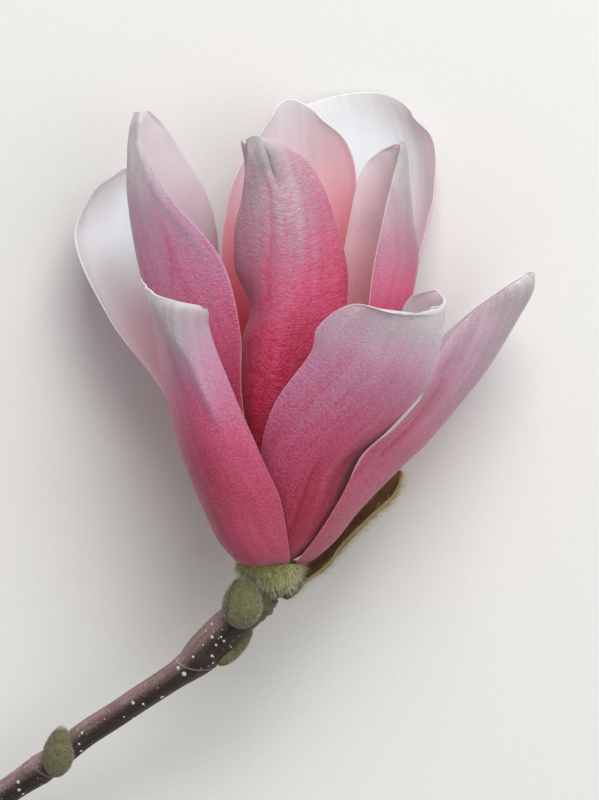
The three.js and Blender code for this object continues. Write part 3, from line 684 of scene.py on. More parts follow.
def silkGroup():
    # fine wrinkles that run across in bows, lengthwise veins and grain of a tepal's skin
    inputs = [("Growth", "Vector"), ("Wrinkle Width", "Float"), ("Wrinkle Reach", "Float"), ("Bow", "Float")]
    outputs = [(label, "Float") for label in ("Wrinkles", "Veins", "Grain")]
    group, given, put = nodeGroup("tepalSilk", "ShaderNodeTree", inputs, outputs)
    apart = addNode(group, "ShaderNodeSeparateXYZ", {0: given["Growth"]}).outputs
    sideways = calculate(group, "SUBTRACT", apart[0], 0.5)
    squared = summed(group, sideways, sideways, silkLook["straightened"])
    drop = product(group, calculate(group, "SQRT", squared), given["Bow"])
    bowed = calculate(group, "SUBTRACT", apart[1], drop)
    finer = calculate(group, "DIVIDE", blade["mapScale"], given["Wrinkle Width"])
    longer = calculate(group, "DIVIDE", finer, given["Wrinkle Reach"])
    inputs = {0: product(group, sideways, longer), 1: product(group, bowed, finer)}
    wrinklePlace = addNode(group, "ShaderNodeCombineXYZ", inputs).outputs[0]

    def creased(place, width):    # zero on thin winding lines, one between them
        middle = noise(group, place, Detail=1, Roughness=0.5, Distortion=0.4)
        off = calculate(group, "ABSOLUTE", calculate(group, "SUBTRACT", middle, 0.5))
        return stretched(group, off, 0, width)

    coarse = creased(wrinklePlace, silkLook["crease"])
    fine = creased(scaled(group, wrinklePlace, 3 * (silkLook["finer"],)), silkLook["fineCrease"])
    fine = product(group, fine, 1 - silkLook["coarseShare"])
    wrinkles = summed(group, coarse, silkLook["coarseShare"], fine)
    veinScale = blade["mapScale"] / silkLook["veinWidth"]
    veinPlace = scaled(group, given["Growth"], (veinScale, veinScale * silkLook["veinStretch"], 1))
    veins = noise(group, veinPlace, Detail=2, Distortion=0.2)
    grainScale = blade["mapScale"] / silkLook["grainWidth"]
    grain = noise(group, scaled(group, given["Growth"], (grainScale, grainScale, 1)), Detail=1)
    group.links.new(wrinkles, put["Wrinkles"])
    group.links.new(stretched(group, veins, 0.3, 0.7), put["Veins"])
    group.links.new(stretched(group, grain, 0.3, 0.7), put["Grain"])
    return group


# through is the strength of a painted glow that the inner faces give off
tepalSkins = {
    "rose_tepal": {
        "outer": [(0, (214, 213, 212)), (0.2, (196, 177, 190)), (0.45, (200, 140, 172)),
                  (0.72, (196, 84, 122)), (1, (158, 38, 62))],
        "inner": [(0, (216, 214, 218)), (0.3, (188, 166, 176)), (0.6, (198, 142, 154)), (1, (190, 66, 82))],
        "silk": {"Wrinkle Width": 0.5, "Wrinkle Reach": 1.9, "Bow": 0.3},
        "wrinkleTintAndSheen": 0.13, "bump": 0.8, "through": 0.04, "paleBacklitRim": 0.14,
    },
    "deep_tepal": {
        "outer": [(0, (192, 191, 189)), (0.2, (188, 166, 178)), (0.45, (188, 126, 150)),
                  (0.72, (208, 78, 118)), (1, (184, 20, 58))],
        "inner": [(0, (226, 216, 221)), (0.3, (204, 174, 182)), (0.6, (200, 134, 144)), (1, (198, 58, 78))],
        "silk": {"Wrinkle Width": 0.72, "Wrinkle Reach": 3.6, "Bow": 0.5},
        "wrinkleTintAndSheen": 0.24, "bump": 0.85, "through": 0.08, "paleBacklitRim": 0.5,
    },
    "pale_tepal": {
        "outer": [(0, (226, 224, 226)), (0.2, (214, 196, 208)), (0.45, (206, 146, 176)),
                  (0.72, (196, 86, 124)), (1, (166, 36, 68))],
        "inner": [(0, (233, 238, 240)), (0.12, (206, 208, 210)), (0.3, (206, 186, 192)),
                  (0.5, (218, 168, 178)), (0.75, (234, 126, 142)), (1, (204, 44, 74))],
        "silk": {"Wrinkle Width": 0.6, "Wrinkle Reach": 1.8, "Bow": 0.3},
        "wrinkleTintAndSheen": 0.06, "bump": 0.3, "through": 0.2, "paleBacklitRim": 0.55,
    },
}
# How far veins and grain move the tint and the painted grey shade, and how much the grain adds to the
# wrinkles' height.
tintShares = {"veins": 0.08, "grain": 0.15, "innerGrain": 0.05, "paintedShadeVeins": 0.1, "grainHeight": 0.3}
paleBacklitRimLook = {"width": 0.13, "colour": (236, 228, 232)}
paintedShadeTone = (112, 112, 112)
tepalSurface = {
    "Roughness": 0.48, "Subsurface Weight": 0.35, "Subsurface Radius": (1.0, 0.45, 0.4),
    "Subsurface Scale": 1.6 * mm, "Sheen Weight": 0.25, "Sheen Roughness": 0.4, "Specular IOR Level": 0.35,
}


def tepalMaterial(name, values, silk):
    material, tree, shader = newMaterial(name, **tepalSurface)
    growth = addNode(tree, "ShaderNodeUVMap", uv_map="growth").outputs[0]
    skin = addNode(tree, "ShaderNodeGroup", node_tree=silk)
    tree.links.new(growth, skin.inputs["Growth"])
    for label, value in values["silk"].items():
        skin.inputs[label].default_value = value
    outside, tint, toRim, grey = (attribute(tree, label) for label in ("outside", "tint", "toRim", "grey"))
    onOutside = calculate(tree, "GREATER_THAN", outside, 0.4)

    def moved(value, mask, amount):    # lets a mask lighten or deepen a tint
        return summed(tree, calculate(tree, "SUBTRACT", mask, 0.5), amount, value)

    wrinkles = calculate(tree, "MAXIMUM", skin.outputs["Wrinkles"], attribute(tree, "smooth"))
    veined = moved(tint, skin.outputs["Veins"], tintShares["veins"])
    # the wrinkles lighten the tint between their lines: partly the skin's own colour, partly a painted sheen
    wrinkled = moved(veined, wrinkles, -values["wrinkleTintAndSheen"])
    grained = moved(wrinkled, skin.outputs["Grain"], tintShares["grain"])
    outerColour = colourRamp(tree, grained, values["outer"])
    innerTint = moved(tint, skin.outputs["Grain"], tintShares["innerGrain"])
    innerColour = colourRamp(tree, innerTint, values["inner"])
    both = blended(tree, onOutside, innerColour, outerColour)
    # painted shade: the skin is mixed towards a dark grey tone where the folds put it
    paintedShadeVeined = moved(grey, skin.outputs["Veins"], tintShares["paintedShadeVeins"])
    both = overlaid(tree, both, paintedShadeTone, product(tree, paintedShadeVeined, stretched(tree, grey, 0, 0.1)))
    # a paler rim along the margin: partly the thin margin's own colour, partly a painted backlight glow
    paleBacklitRim = stretched(tree, toRim, 0.0, paleBacklitRimLook["width"], values["paleBacklitRim"], 0)
    tree.links.new(overlaid(tree, both, paleBacklitRimLook["colour"], paleBacklitRim), shader.inputs["Base Color"])
    tree.links.new(stretched(tree, wrinkles, 0, 1, 0.6, 0.45), shader.inputs["Roughness"])
    height = product(tree, wrinkles, onOutside)
    height = summed(tree, skin.outputs["Grain"], tintShares["grainHeight"], height)
    # painted glow: emission on the inner face stands in for light that comes through the thin blade
    lit = blended(tree, stretched(tree, tint, 0.4, 0.9), innerColour, colour(0, 0, 0))
    through = blended(tree, onOutside, lit, colour(0, 0, 0))
    tree.links.new(through, shader.inputs["Emission Color"])
    shader.inputs["Emission Strength"].default_value = values["through"]
    addBump(tree, shader, values["bump"], 0.12 * mm, height)
    return material


def makeTepals():
    silk = silkGroup()
    skins = {name: tepalMaterial(name.replace("_", " "), values, silk) for name, values in tepalSkins.items()}
    for name, values in tepals.items():
        finishPiece(tepalMesh(name, values), name, skins[values["slot"]])


makeTepals()
print("tepals made")

# Twig: its path runs from the joint with the stalk down to the cut end on the floor.
twig = {
    "path": [[-1, -6.2, -0.3], [-3, -8.6, -0.6], [-6.8, -11.6, -1.4], [-10.8, -15.4, -2.8],
             [-14.7, -19.5, -4.5], [-19.4, -22.8, -6.2], [-24.8, -26.4, -8], [-30.2, -30, -9.8],
             [-35.8, -33.7, -11.7], [-42.3, -39, -14.1], [-49.9, -44.2, -16.7], [-60.5, -51.6, -20.6],
             [-73.5, -60.6, -26.3]],
    "radius": {"top": 2.9, "middle": 2.45, "cut": 2.6}, "thinnestAt": 0.3,
    "rings": 420, "sides": 64, "ripple": 0.045, "rippleCounts": (3, 5, 8, 13, 19), "seed": 41,
    "paleScarsFrom": 10, "paleLips": (0.06, 0.16),    # a high lip past this distance is pale
    # swellings: distance from the stalk, added radius and length
    "nodes": [(1.6, 0.35, 0.9), (11, 0.85, 7.5), (17.5, 0.45, 3), (57, 0.35, 3.4), (84, 0.2, 3)],
    # ring scars: distance, slant across the twig, height of the lip, width
    "scars": [(0.6, 0.2, 0.2, 0.3), (2.1, 0.3, 0.18, 0.3), (3.6, 0.4, 0.12, 0.3), (14.6, -0.6, 0.05, 0.3),
              (19.1, 2.3, 0.16, 0.22), (20, 2.3, 0.06, 0.25), (56.2, 1.0, 0.1, 0.3), (58.4, 1.0, 0.06, 0.3),
              (84, 0.8, 0.08, 0.3)],
    "scarTurn": -1.9,    # where round the twig a slanted scar comes nearest to the stalk
    "paintedSheenSide": (-0.75, 0.85, 0.5),    # the side on which a painted sheen lightens the bark, where the light falls
    "cutSteps": (0.985, 0.95, 0.9, 0.8, 0.62, 0.42, 0.25, 0.14, 0.06),    # rings of the cut face
}


def evenPath(stations, count):    # points at even distances along the curve, with their distances
    dense = smoothCurve(stations, np.linspace(0, 1, 2000))
    reach = np.concatenate([[0], np.cumsum(np.linalg.norm(np.diff(dense, axis=0), axis=1))])
    distance = np.linspace(0, reach[-1], count)
    return np.stack([np.interp(distance, reach, dense[:, axis]) for axis in range(3)], 1), distance


def twigRadii(distance, length):
    radius, thinnest = twig["radius"], twig["thinnestAt"]
    taper = np.interp(distance / length, (0, thinnest, 1), (radius["top"], radius["middle"], radius["cut"]))
    return taper + sum(rise * np.exp(-(((distance - at) / reach) ** 2)) for at, rise, reach in twig["nodes"])


def twigMesh():
    path, distance = evenPath(twig["path"], twig["rings"])
    sides = twig["sides"]
    angle = turnsRound(sides)[None, :]
    radii = twigRadii(distance, distance[-1])[:, None] + 0 * angle
    far = distance[:, None]
    scar = 0 * radii
    for at, slant, lip, width in twig["scars"]:
        place = (far - at + slant * np.cos(angle - twig["scarTurn"])) / width
        pale = smoothStep(*twig["paleLips"], lip) * (at > twig["paleScarsFrom"])
        scar = np.maximum(scar, np.exp(-((place - 0.3) / 0.8) ** 2) * pale)
        radii = radii + lip * (np.exp(-place ** 2) - 0.7 * np.exp(-(place - 2) ** 2))
    rng = np.random.default_rng(twig["seed"])
    for count in twig["rippleCounts"]:    # low lengthwise ripples that drift along the twig
        drift = 2 * np.sin(far / rng.uniform(5, 9) + rng.uniform(0, fullTurn))
        fade = 0.6 + 0.4 * np.sin(far / rng.uniform(2, 4) + rng.uniform(0, fullTurn))
        radii = radii + twig["ripple"] * fade * np.sin(count * angle + drift) / math.sqrt(count / 3)
    rings = ringsAlong(path, radii, sides)
    cut = [path[-1] + (rings[-1] - path[-1]) * share for share in twig["cutSteps"]]
    points = np.concatenate([rings, np.array(cut)])
    points[..., 2] = np.maximum(points[..., 2], lyingLevel)
    around = np.stack([np.cos(angle) * radii, np.sin(angle) * radii, far + 0 * angle], -1)
    barkPlace = np.concatenate([around, around[-1:] * np.array(twig["cutSteps"])[:, None, None]])
    barkPlace[len(rings):, :, 2] = distance[-1]
    section = np.concatenate([np.full((len(rings), sides), 2.0),
                              np.array(twig["cutSteps"])[:, None] + 0 * angle])
    # painted sheen: how far each point of the bark faces the sheen side
    sheenFacing = unit(rings - path[:, None]) @ unit(np.array(twig["paintedSheenSide"], float))
    sheenFacing = np.concatenate([sheenFacing, 0 * section[len(rings):]])
    scar = np.concatenate([scar, 0 * section[len(rings):]])
    marks = {"barkPlace": barkPlace.reshape(-1, 3), "section": section.ravel(), "sheenFacing": sheenFacing.ravel(),
             "scar": scar.ravel()}
    return newObject("twig_bark", fromFoot(points.reshape(-1, 3)), closedFaces(len(points), sides), marks)


barkLook = {
    "surface": {"Roughness": 0.5, "Specular IOR Level": 0.45},
    "bark": [(0, (16, 11, 7)), (0.35, (36, 25, 18)), (0.65, (68, 46, 37)), (1, (106, 78, 66))],
    "paintedSheen": [(0, (92, 62, 58)), (0.4, (136, 104, 100)), (0.7, (182, 158, 158)), (1, (224, 210, 210))],
    "film": ((136, 118, 112), 0.2), "young": ((92, 86, 56), 0.75),    # a colour and how much it covers
    "speck": ((206, 196, 186), 0.8), "scar": ((196, 176, 160), 0.7), "youngFrom": 9, "youngFull": 2,
    "cutFace": [(0, (150, 118, 74)), (0.14, (216, 196, 150)), (0.2, (226, 212, 168)), (0.8, (212, 200, 146)),
                (0.9, (126, 136, 62)), (0.96, (84, 56, 40)), (1, (58, 38, 32))],
}


def barkMaterial():
    material, tree, shader = newMaterial("twig bark", **barkLook["surface"])

    def covered(skin, label, mask):
        tone, share = barkLook[label]
        return overlaid(tree, skin, tone, mask, share)

    bark = addNode(tree, "ShaderNodeAttribute", attribute_name="barkPlace").outputs["Vector"]
    section = attribute(tree, "section")
    streaks = noise(tree, scaled(tree, bark, (1.6, 1.6, 0.22)), Detail=4, Roughness=0.6)
    grain = noise(tree, scaled(tree, bark, (5, 5, 4)), Detail=3, Roughness=0.7)
    tone = summed(tree, grain, 0.5, product(tree, streaks, 0.7))
    skin = colourRamp(tree, calculate(tree, "SUBTRACT", tone, 0.2), barkLook["bark"])
    # painted sheen: the bark facing the light is mixed towards a pale sheen ramp
    sheenShare = summed(tree, calculate(tree, "SUBTRACT", grain, 0.5), 0.9, attribute(tree, "sheenFacing"))
    paintedSheen = colourRamp(tree, calculate(tree, "SUBTRACT", tone, 0.12), barkLook["paintedSheen"])
    skin = blended(tree, stretched(tree, sheenShare, 0.3, 1.1), skin, paintedSheen)
    filmSpread = noise(tree, scaled(tree, bark, (0.5, 0.5, 0.12)), Detail=3, Roughness=0.65)
    film = product(tree, stretched(tree, filmSpread, 0.45, 0.75), stretched(tree, grain, 0.35, 0.7))
    skin = covered(skin, "film", film)
    far = addNode(tree, "ShaderNodeSeparateXYZ", {0: bark}).outputs[2]
    young = stretched(tree, far, barkLook["youngFrom"], barkLook["youngFull"])
    skin = covered(skin, "young", young)
    cells = addNode(tree, "ShaderNodeTexVoronoi", {"Vector": bark, "Scale": 0.75}).outputs["Distance"]
    specks = stretched(tree, cells, 0.14, 0.06)
    skin = covered(skin, "speck", specks)
    skin = covered(skin, "scar", attribute(tree, "scar"))
    wood = colourRamp(tree, section, barkLook["cutFace"])
    onBark = calculate(tree, "GREATER_THAN", section, 1)
    tree.links.new(blended(tree, onBark, wood, skin), shader.inputs["Base Color"])
    tree.links.new(stretched(tree, grain, 0.2, 0.8, 0.62, 0.42), shader.inputs["Roughness"])
    height = summed(tree, specks, 0.5, calculate(tree, "ADD", streaks, grain))
    addBump(tree, shader, 0.6, 0.15 * mm, height)
    return material


# Lenticels: pixels of the photograph where one shows, then their size in millimetres.
lenticels = {
    "seen": [(212, 624, 0.34), (212, 637, 0.34), (221, 637, 0.24), (224, 641, 0.28), (216, 645, 0.26),
             (231, 647, 0.22), (212, 656, 0.34), (213, 663, 0.24), (193, 657, 0.28), (178, 668, 0.42),
             (184, 674, 0.5), (133, 703, 0.34), (143, 704, 0.26), (162, 697, 0.4), (133, 718, 0.26),
             (82, 733, 0.3), (79, 744, 0.26), (81, 751, 0.34), (18, 782, 0.36), (19, 790, 0.36),
             (23, 794, 0.3), (203, 645, 0.2), (206, 631, 0.2), (124, 717, 0.2)],
    "hidden": 70, "hiddenSize": (0.18, 0.42), "seed": 8, "height": 0.35, "sides": 10,
    "colour": (226, 220, 208), "shade": 50,
    "fromRing": 40, "toRing": 416, "faceBelow": 0.45,    # where the hidden ones may stand
}


def domeShape(name, sides, steps, height):    # a low dome, one unit wide, for repeated dots
    climb = np.linspace(0, math.pi / 2, steps)
    angle = turnsRound(sides)
    width = np.cos(climb * 0.97)
    rings = np.stack([np.outer(width, np.cos(angle)), np.outer(width, np.sin(angle)),
                      np.outer(np.sin(climb) * height, np.ones(sides))], -1)
    return newObject(name, rings.reshape(-1, 3), closedFaces(steps, sides))


def placingTree():
    # puts a shape on each point, its Z along the point's "facing" and its X towards "aside"
    inputs = [("Geometry", "Geometry"), ("Shape", "Object"), ("Finish", "Material"), ("Unit", "Float")]
    tree, given, put = nodeGroup("placeOnPoints", "GeometryNodeTree", inputs, [("Geometry", "Geometry")])
    turn = "FunctionNodeAlignRotationToVector"
    upright = addNode(tree, turn, {"Vector": named(tree, "facing", "FLOAT_VECTOR")}, axis="Z").outputs[0]
    inputs = {"Rotation": upright, "Vector": named(tree, "aside", "FLOAT_VECTOR")}
    turned = addNode(tree, turn, inputs, axis="X", pivot_axis="Z").outputs[0]
    size = product(tree, named(tree, "size", "FLOAT"), given["Unit"])
    return placeInstances(tree, given, put, given["Geometry"], given["Shape"], turned, size)


def placed(name, places, facing, aside, size, shape, finish, tree):
    points = newObject(name + "_points", places, [], {"facing": facing, "aside": aside, "size": size})
    made = grown(name, points, tree, {"Shape": shape, "Finish": finish, "Unit": mm})
    discard(points)
    return made


def makeTwig(placing):
    bark = finishPiece(twigMesh(), "twig", barkMaterial())
    bpy.context.view_layer.update()
    eye = Vector(cameraView["place"])
    spots, sizes = [], []
    for across, down, size in lenticels["seen"]:
        hit, place, normal, _ = bark.ray_cast(eye, sightLine(across, down))
        if hit:
            spots.append((place, normal))
            sizes.append(size)
    rng = np.random.default_rng(lenticels["seed"])
    path, _ = evenPath(twig["path"], twig["rings"])
    for _ in range(lenticels["hidden"]):
        middle = Vector(fromFoot(path[rng.integers(lenticels["fromRing"], lenticels["toRing"])]))
        angle = rng.uniform(0, fullTurn)
        outward = Vector((math.cos(angle), 0.6 * math.cos(angle), math.sin(angle) - 0.55)).normalized()
        hit, place, normal, _ = bark.ray_cast(middle + outward * 20 * mm, -outward)
        if hit and normal.z < lenticels["faceBelow"]:
            spots.append((place, normal))
            sizes.append(rng.uniform(*lenticels["hiddenSize"]))
    places = np.array([place for place, _ in spots])
    facing = np.array([normal for _, normal in spots])
    wood = unit(path[-1] - path[0])
    material, tree, shader = newMaterial("lenticel cork", Roughness=0.8)
    grain = noise(tree, objectPlace(tree), Scale=6000, Detail=1)
    pale = colour(*lenticels["colour"])
    shade = colour(*[part - lenticels["shade"] for part in lenticels["colour"]])
    tree.links.new(blended(tree, grain, pale, shade), shader.inputs["Base Color"])
    dome = domeShape("lenticelShape", lenticels["sides"], 4, lenticels["height"])
    dots = placed("twig_lenticels", places, facing, facing * 0 + wood, sizes, dome, material, placing)
    discard(dome)
    finishPiece(dots, "twig")


# Hairs grow from a piece's skin, thickest where its "hairy" value is one.
hairShape = {"sides": 3, "steps": 5, "bend": 6, "tip": 0.12}    # bend and tip as shares of the thickness
hairSurface = {"Roughness": 0.55, "Sheen Weight": 0.3}
hairLengths = (0.45, 1.15)    # shortest and longest, as shares of a piece's "Length"


def makeHairShape():    # one unit long, one unit thick at its root, bent to one side
    share = np.linspace(0, 1, hairShape["steps"])
    path = np.stack([hairShape["bend"] * share ** 2, 0 * share, share], 1)
    width = np.interp(share, (0, 1), (0.5, 0.5 * hairShape["tip"]))
    angle = turnsRound(hairShape["sides"])
    ring = np.stack([np.cos(angle), np.sin(angle), 0 * angle], 1)
    points = (path[:, None] + ring[None] * width[:, None, None]).reshape(-1, 3)
    return newObject("hairShape", points, closedFaces(hairShape["steps"], hairShape["sides"]))


def hairTree():
    inputs = [("Geometry", "Geometry"), ("Hair", "Object"), ("Finish", "Material"), ("Density", "Float"),
              ("Length", "Float"), ("Thickness", "Float"), ("Lean", "Float"), ("Growth", "Vector"),
              ("Spread", "Float"), ("Seed", "Int")]
    tree, given, put = nodeGroup("growHairs", "GeometryNodeTree", inputs, [("Geometry", "Geometry")])
    seed = given["Seed"]
    density = product(tree, named(tree, "hairy", "FLOAT"), given["Density"])
    inputs = {"Mesh": given["Geometry"], "Density": density, "Seed": seed}
    roots = addNode(tree, "GeometryNodeDistributePointsOnFaces", inputs).outputs
    inputs = {0: (-1, -1, -1), 1: (1, 1, 1), "Seed": seed}
    stray = addNode(tree, "FunctionNodeRandomValue", inputs, data_type="FLOAT_VECTOR").outputs[0]

    def leant(start, way, amount):
        added = addNode(tree, "ShaderNodeVectorMath", {0: way, "Scale": amount}, operation="SCALE").outputs[0]
        return addNode(tree, "ShaderNodeVectorMath", {0: start, 1: added}, operation="ADD").outputs[0]

    toward = leant(roots["Normal"], given["Growth"], given["Lean"])
    toward = leant(toward, stray, given["Spread"])
    turn = addNode(tree, "FunctionNodeAlignRotationToVector", {"Vector": toward}, axis="Z").outputs[0]
    inputs = {2: hairLengths[0], 3: hairLengths[1], "Seed": seed}
    uneven = addNode(tree, "FunctionNodeRandomValue", inputs, data_type="FLOAT").outputs[1]
    length = product(tree, uneven, given["Length"])
    inputs = {0: given["Thickness"], 1: given["Thickness"], 2: length}
    scale = addNode(tree, "ShaderNodeCombineXYZ", inputs).outputs[0]
    return placeInstances(tree, given, put, roots["Points"], given["Hair"], turn, scale)


def hairMaterial(name, look):
    material, tree, shader = newMaterial(name, **hairSurface)
    patch = stretched(tree, noise(tree, objectPlace(tree), Scale=1400, Detail=2), 0.3, 0.7)
    deep, pale = colour(*look["hairDeep"]), colour(*look["hairPale"])
    tree.links.new(blended(tree, patch, deep, pale), shader.inputs["Base Color"])
    return material


def growHairs(base, name, node, finish, tools, growth, look):
    tree, shape = tools
    values = {"Hair": shape, "Finish": finish, "Growth": growth, **look["hairs"]}
    finishPiece(grown(name, base, tree, values), node)


# Stalk: a bowl under the flower, on a neck that turns into the twig.
stalk = {
    "sides": 72, "rings": 60,
    # centre, radius and turn from the twig's direction to the flower's
    "profile": [((-1.0, -6.35, -0.3), 3.0, 0), ((-0.7, -5.95, -0.25), 2.9, 0.12),
                ((-0.3, -5.55, -0.2), 2.75, 0.3),
                ((0.1, -4.9, -0.1), 3.35, 0.5), ((0.25, -4, 0), 4.3, 0.7), ((0.2, -3, 0), 5.15, 0.88),
                ((0.1, -1.9, 0), 5.85, 1), ((0, -0.9, 0), 6.25, 1), ((0, -0.3, 0), 6.4, 1)],
    "top": [(-0.3, 5.2), (0.3, 5.1), (0.3, 3.8), (2.1, 3.7), (2.1, 0.4)],    # height and radius of the steps
    "felt": [(0, (64, 64, 26)), (0.4, (112, 114, 52)), (0.7, (152, 152, 76)), (1, (190, 184, 106))],
    # creases under the bowl, darkened by painted shade: height where lowest, bow, place of the lowest point,
    # width, depth
    "creases": [(-5.75, 0.09, 0.3, 0.22, 0.5), (-7.75, 0.12, -0.3, 0.2, 0.35)],
    "lumps": [(5, 0.018, 1), (9, 0.012, 0)],    # count round the stalk, height as a share of the radius, turn
    "growth": (0, -0.9, 0.1), "hairPale": (250, 248, 230), "hairDeep": (176, 174, 116),
    "hairs": {"Density": 8e6, "Length": 2.2 * mm, "Thickness": 0.045 * mm, "Lean": 1.1, "Spread": 0.8,
              "Seed": 4},
}


# paintedCreaseShade is painted shade: it darkens the stalk's creases and the buds' seams
feltTones = {"neck": (70, 62, 44), "foot": (104, 90, 46), "tip": (172, 170, 146), "paintedCreaseShade": (16, 13, 9)}
feltShare = 0.85
feltSurface = {"Roughness": 0.85, "Sheen Weight": 0.15, "Sheen Roughness": 0.5}


def feltMaterial(name, stops, size, bumpDepth):
    material, tree, shader = newMaterial(name, **feltSurface)
    place = objectPlace(tree)
    patch = noise(tree, place, Scale=0.25 / size, Detail=3, Roughness=0.6)
    nap = noise(tree, place, Scale=1 / size, Detail=3, Roughness=0.7)
    tone = summed(tree, nap, 0.6, product(tree, patch, 0.6))
    skin = colourRamp(tree, calculate(tree, "SUBTRACT", tone, 0.1), stops)
    for label, shade in feltTones.items():
        skin = overlaid(tree, skin, shade, attribute(tree, label), feltShare)
    tree.links.new(skin, shader.inputs["Base Color"])
    addBump(tree, shader, 0.8, bumpDepth, nap)
    return material


def makeStalk(tools):
    path = np.array(twig["path"])
    twigWay = unit(path[0] - path[1])
    share = np.linspace(0, 1, stalk["rings"])
    centres = smoothCurve([centre for centre, _, _ in stalk["profile"]], share)
    radii = smoothCurve([[radius] for _, radius, _ in stalk["profile"]], share)
    turns = np.clip(smoothCurve([[turn] for _, _, turn in stalk["profile"]], share), 0, 1)
    ways = unit(twigWay * (1 - turns) + np.array([0, 1.0, 0]) * turns)
    for height, radius in stalk["top"]:
        centres = np.vstack([centres, [0, height, 0]])
        radii = np.vstack([radii, [radius]])
        ways = np.vstack([ways, [0, 1, 0]])
    angle = turnsRound(stalk["sides"])
    lumps = 1 + 0 * angle
    for count, height, turn in stalk["lumps"]:
        lumps = lumps + height * np.sin(count * angle + turn)
    rings = ringsAlong(centres, radii * lumps, stalk["sides"], ways)
    paintedCreaseShade = np.zeros(rings.shape[:2])
    for low, bow, middle, width, depth in stalk["creases"]:
        off = rings[..., 1] - low - bow * (rings[..., 0] - middle) ** 2
        groove = np.exp(-(off / width) ** 2)
        rings = rings - unit(rings - centres[:, None]) * (groove * depth)[..., None]
        paintedCreaseShade = np.maximum(paintedCreaseShade, groove)
    neck = 1 - smoothStep(-6.1, -5.3, rings[..., 1])
    row = np.arange(len(rings))[:, None] + 0 * angle
    hairy = (1 - neck) * (row < stalk["rings"] - 1)
    body = closedLoft("stalk_felt", rings, {"hairy": hairy, "paintedCreaseShade": paintedCreaseShade, "neck": neck})
    finish = hairMaterial("stalk silk", stalk)
    growHairs(body, "stalk_silk", "flower_stalk", finish, tools, stalk["growth"], stalk)
    felt = feltMaterial("stalk skin", stalk["felt"], 0.35 * mm, 0.2 * mm)
    finishPiece(body, "flower_stalk", felt)


# Buds: foot and tip of the axis, greatest radius, flattening, and the place of the seam round the bud.
buds = {
    "upper_bud": {"foot": [-5.2, -12.6, 3.2], "tip": [-5, -2.6, 4.9], "radius": 3.75, "flat": 0.8,
                  "seam": -1.4},
    "side_bud": {"foot": [-9.7, -19.7, -2.6], "tip": [-3.1, -12.9, -3.4], "radius": 1.7, "flat": 0.8,
                 "seam": 1.9},
    "lower_bud": {"foot": [-41.2, -41.6, -12.4], "tip": [-39.6, -31.6, -9.2], "radius": 2.95, "flat": 0.85,
                  "seam": 2.6},
}
budLook = {
    "rings": 90, "sides": 96, "seamDepth": 0.35, "seamWidth": 0.1,
    "felt": [(0, (44, 42, 22)), (0.4, (88, 86, 50)), (0.7, (122, 118, 74)), (1, (164, 158, 112))],
    "hairPale": (216, 217, 194), "hairDeep": (116, 116, 84),
    "hairs": {"Density": 24e6, "Length": 0.55 * mm, "Thickness": 0.035 * mm, "Lean": 1.8, "Spread": 0.4,
              "Seed": 6},
}


def makeBuds(tools):
    felt = feltMaterial("bud felt", budLook["felt"], 0.3 * mm, 0.15 * mm)
    finish = hairMaterial("bud nap", budLook)
    for name, values in buds.items():
        foot, tip = np.array(values["foot"], float), np.array(values["tip"], float)
        share = 0.5 - 0.4985 * np.cos(np.linspace(0, math.pi, budLook["rings"]))
        egg = values["radius"] * np.sin(math.pi * share ** 0.8) ** 0.65
        angle = turnsRound(budLook["sides"])
        section = 1 - (1 - values["flat"]) * np.cos(angle) ** 2
        seamAt = values["seam"] + 0.5 * np.sin(share * 3)[:, None]
        apart = np.angle(np.exp(1j * (angle[None, :] - seamAt)))
        seam = np.exp(-((apart / budLook["seamWidth"]) ** 2)) * smoothStep(0.02, 0.3, share)[:, None]
        groove = budLook["seamDepth"] * seam * (egg[:, None] / values["radius"])
        radii = egg[:, None] * section[None, :] - groove
        rings = ringsAlong(foot + (tip - foot) * share[:, None], radii, budLook["sides"])
        rise = share[:, None] + 0 * seam
        # painted shade darkens the seam's groove
        marks = {"hairy": 1 + 0 * rise, "paintedCreaseShade": 0.8 * seam, "foot": 1 - smoothStep(0.03, 0.16, rise),
                 "tip": smoothStep(0.93, 0.99, rise)}
        body = closedLoft(name + "_felt", rings, marks)
        growth = tuple(unit(tip - foot))
        growHairs(body, name + "_nap", name, finish, tools, growth, budLook)
        finishPiece(body, name, felt)


# Bud scale: the split cover of the flower bud, clinging behind the right outer tepal.
budScale = {
    "left": [[3.7, -6.3, 1.1], [5, -5.5, 0.2], [7, -3.7, -1], [10.6, -0.9, -3.4], [14, 3.2, -5],
             [18.6, 8, -6.2], [23.6, 12.6, -8], [25.5, 17, -11.2]],
    "midrib": [[3.4, -6.8, -1.1], [4.7, -5.7, -2.8], [6, -3.8, -4.4], [10, -1, -6.8], [13.4, 3, -9.4],
               [18.2, 8, -10.8], [23, 12.8, -12.4], [25.2, 17.2, -12.2]],
    "right": [[2, -6.7, -3.7], [2.4, -5.6, -5.4], [3, -3.6, -6.7], [6.6, -0.8, -9.6], [9.4, 3.6, -11.6],
              [13, 9, -13], [17.5, 14, -14.6], [23.4, 17.4, -13.8]],
    "rows": 160, "columns": 40, "body": 0.85, "margin": 0.4, "thinning": 0.5, "lumps": 0.12,
    "skin": [(0, (36, 26, 13)), (0.35, (84, 66, 37)), (0.65, (142, 117, 70)), (1, (196, 168, 104))],
    "inside": [(0, (58, 40, 22)), (0.4, (104, 78, 48)), (0.7, (150, 122, 78)), (1, (196, 170, 120))],
    "young": (66, 64, 44), "edge": (172, 150, 90), "edgeShare": 0.6, "tipFrom": 0.9,
    "growth": (0.5, 0.75, 0), "hairPale": (226, 222, 190), "hairDeep": (150, 136, 92),
    "hairs": {"Density": 9e6, "Length": 2.3 * mm, "Thickness": 0.04 * mm, "Lean": 1.2, "Spread": 0.7,
              "Seed": 9},
}


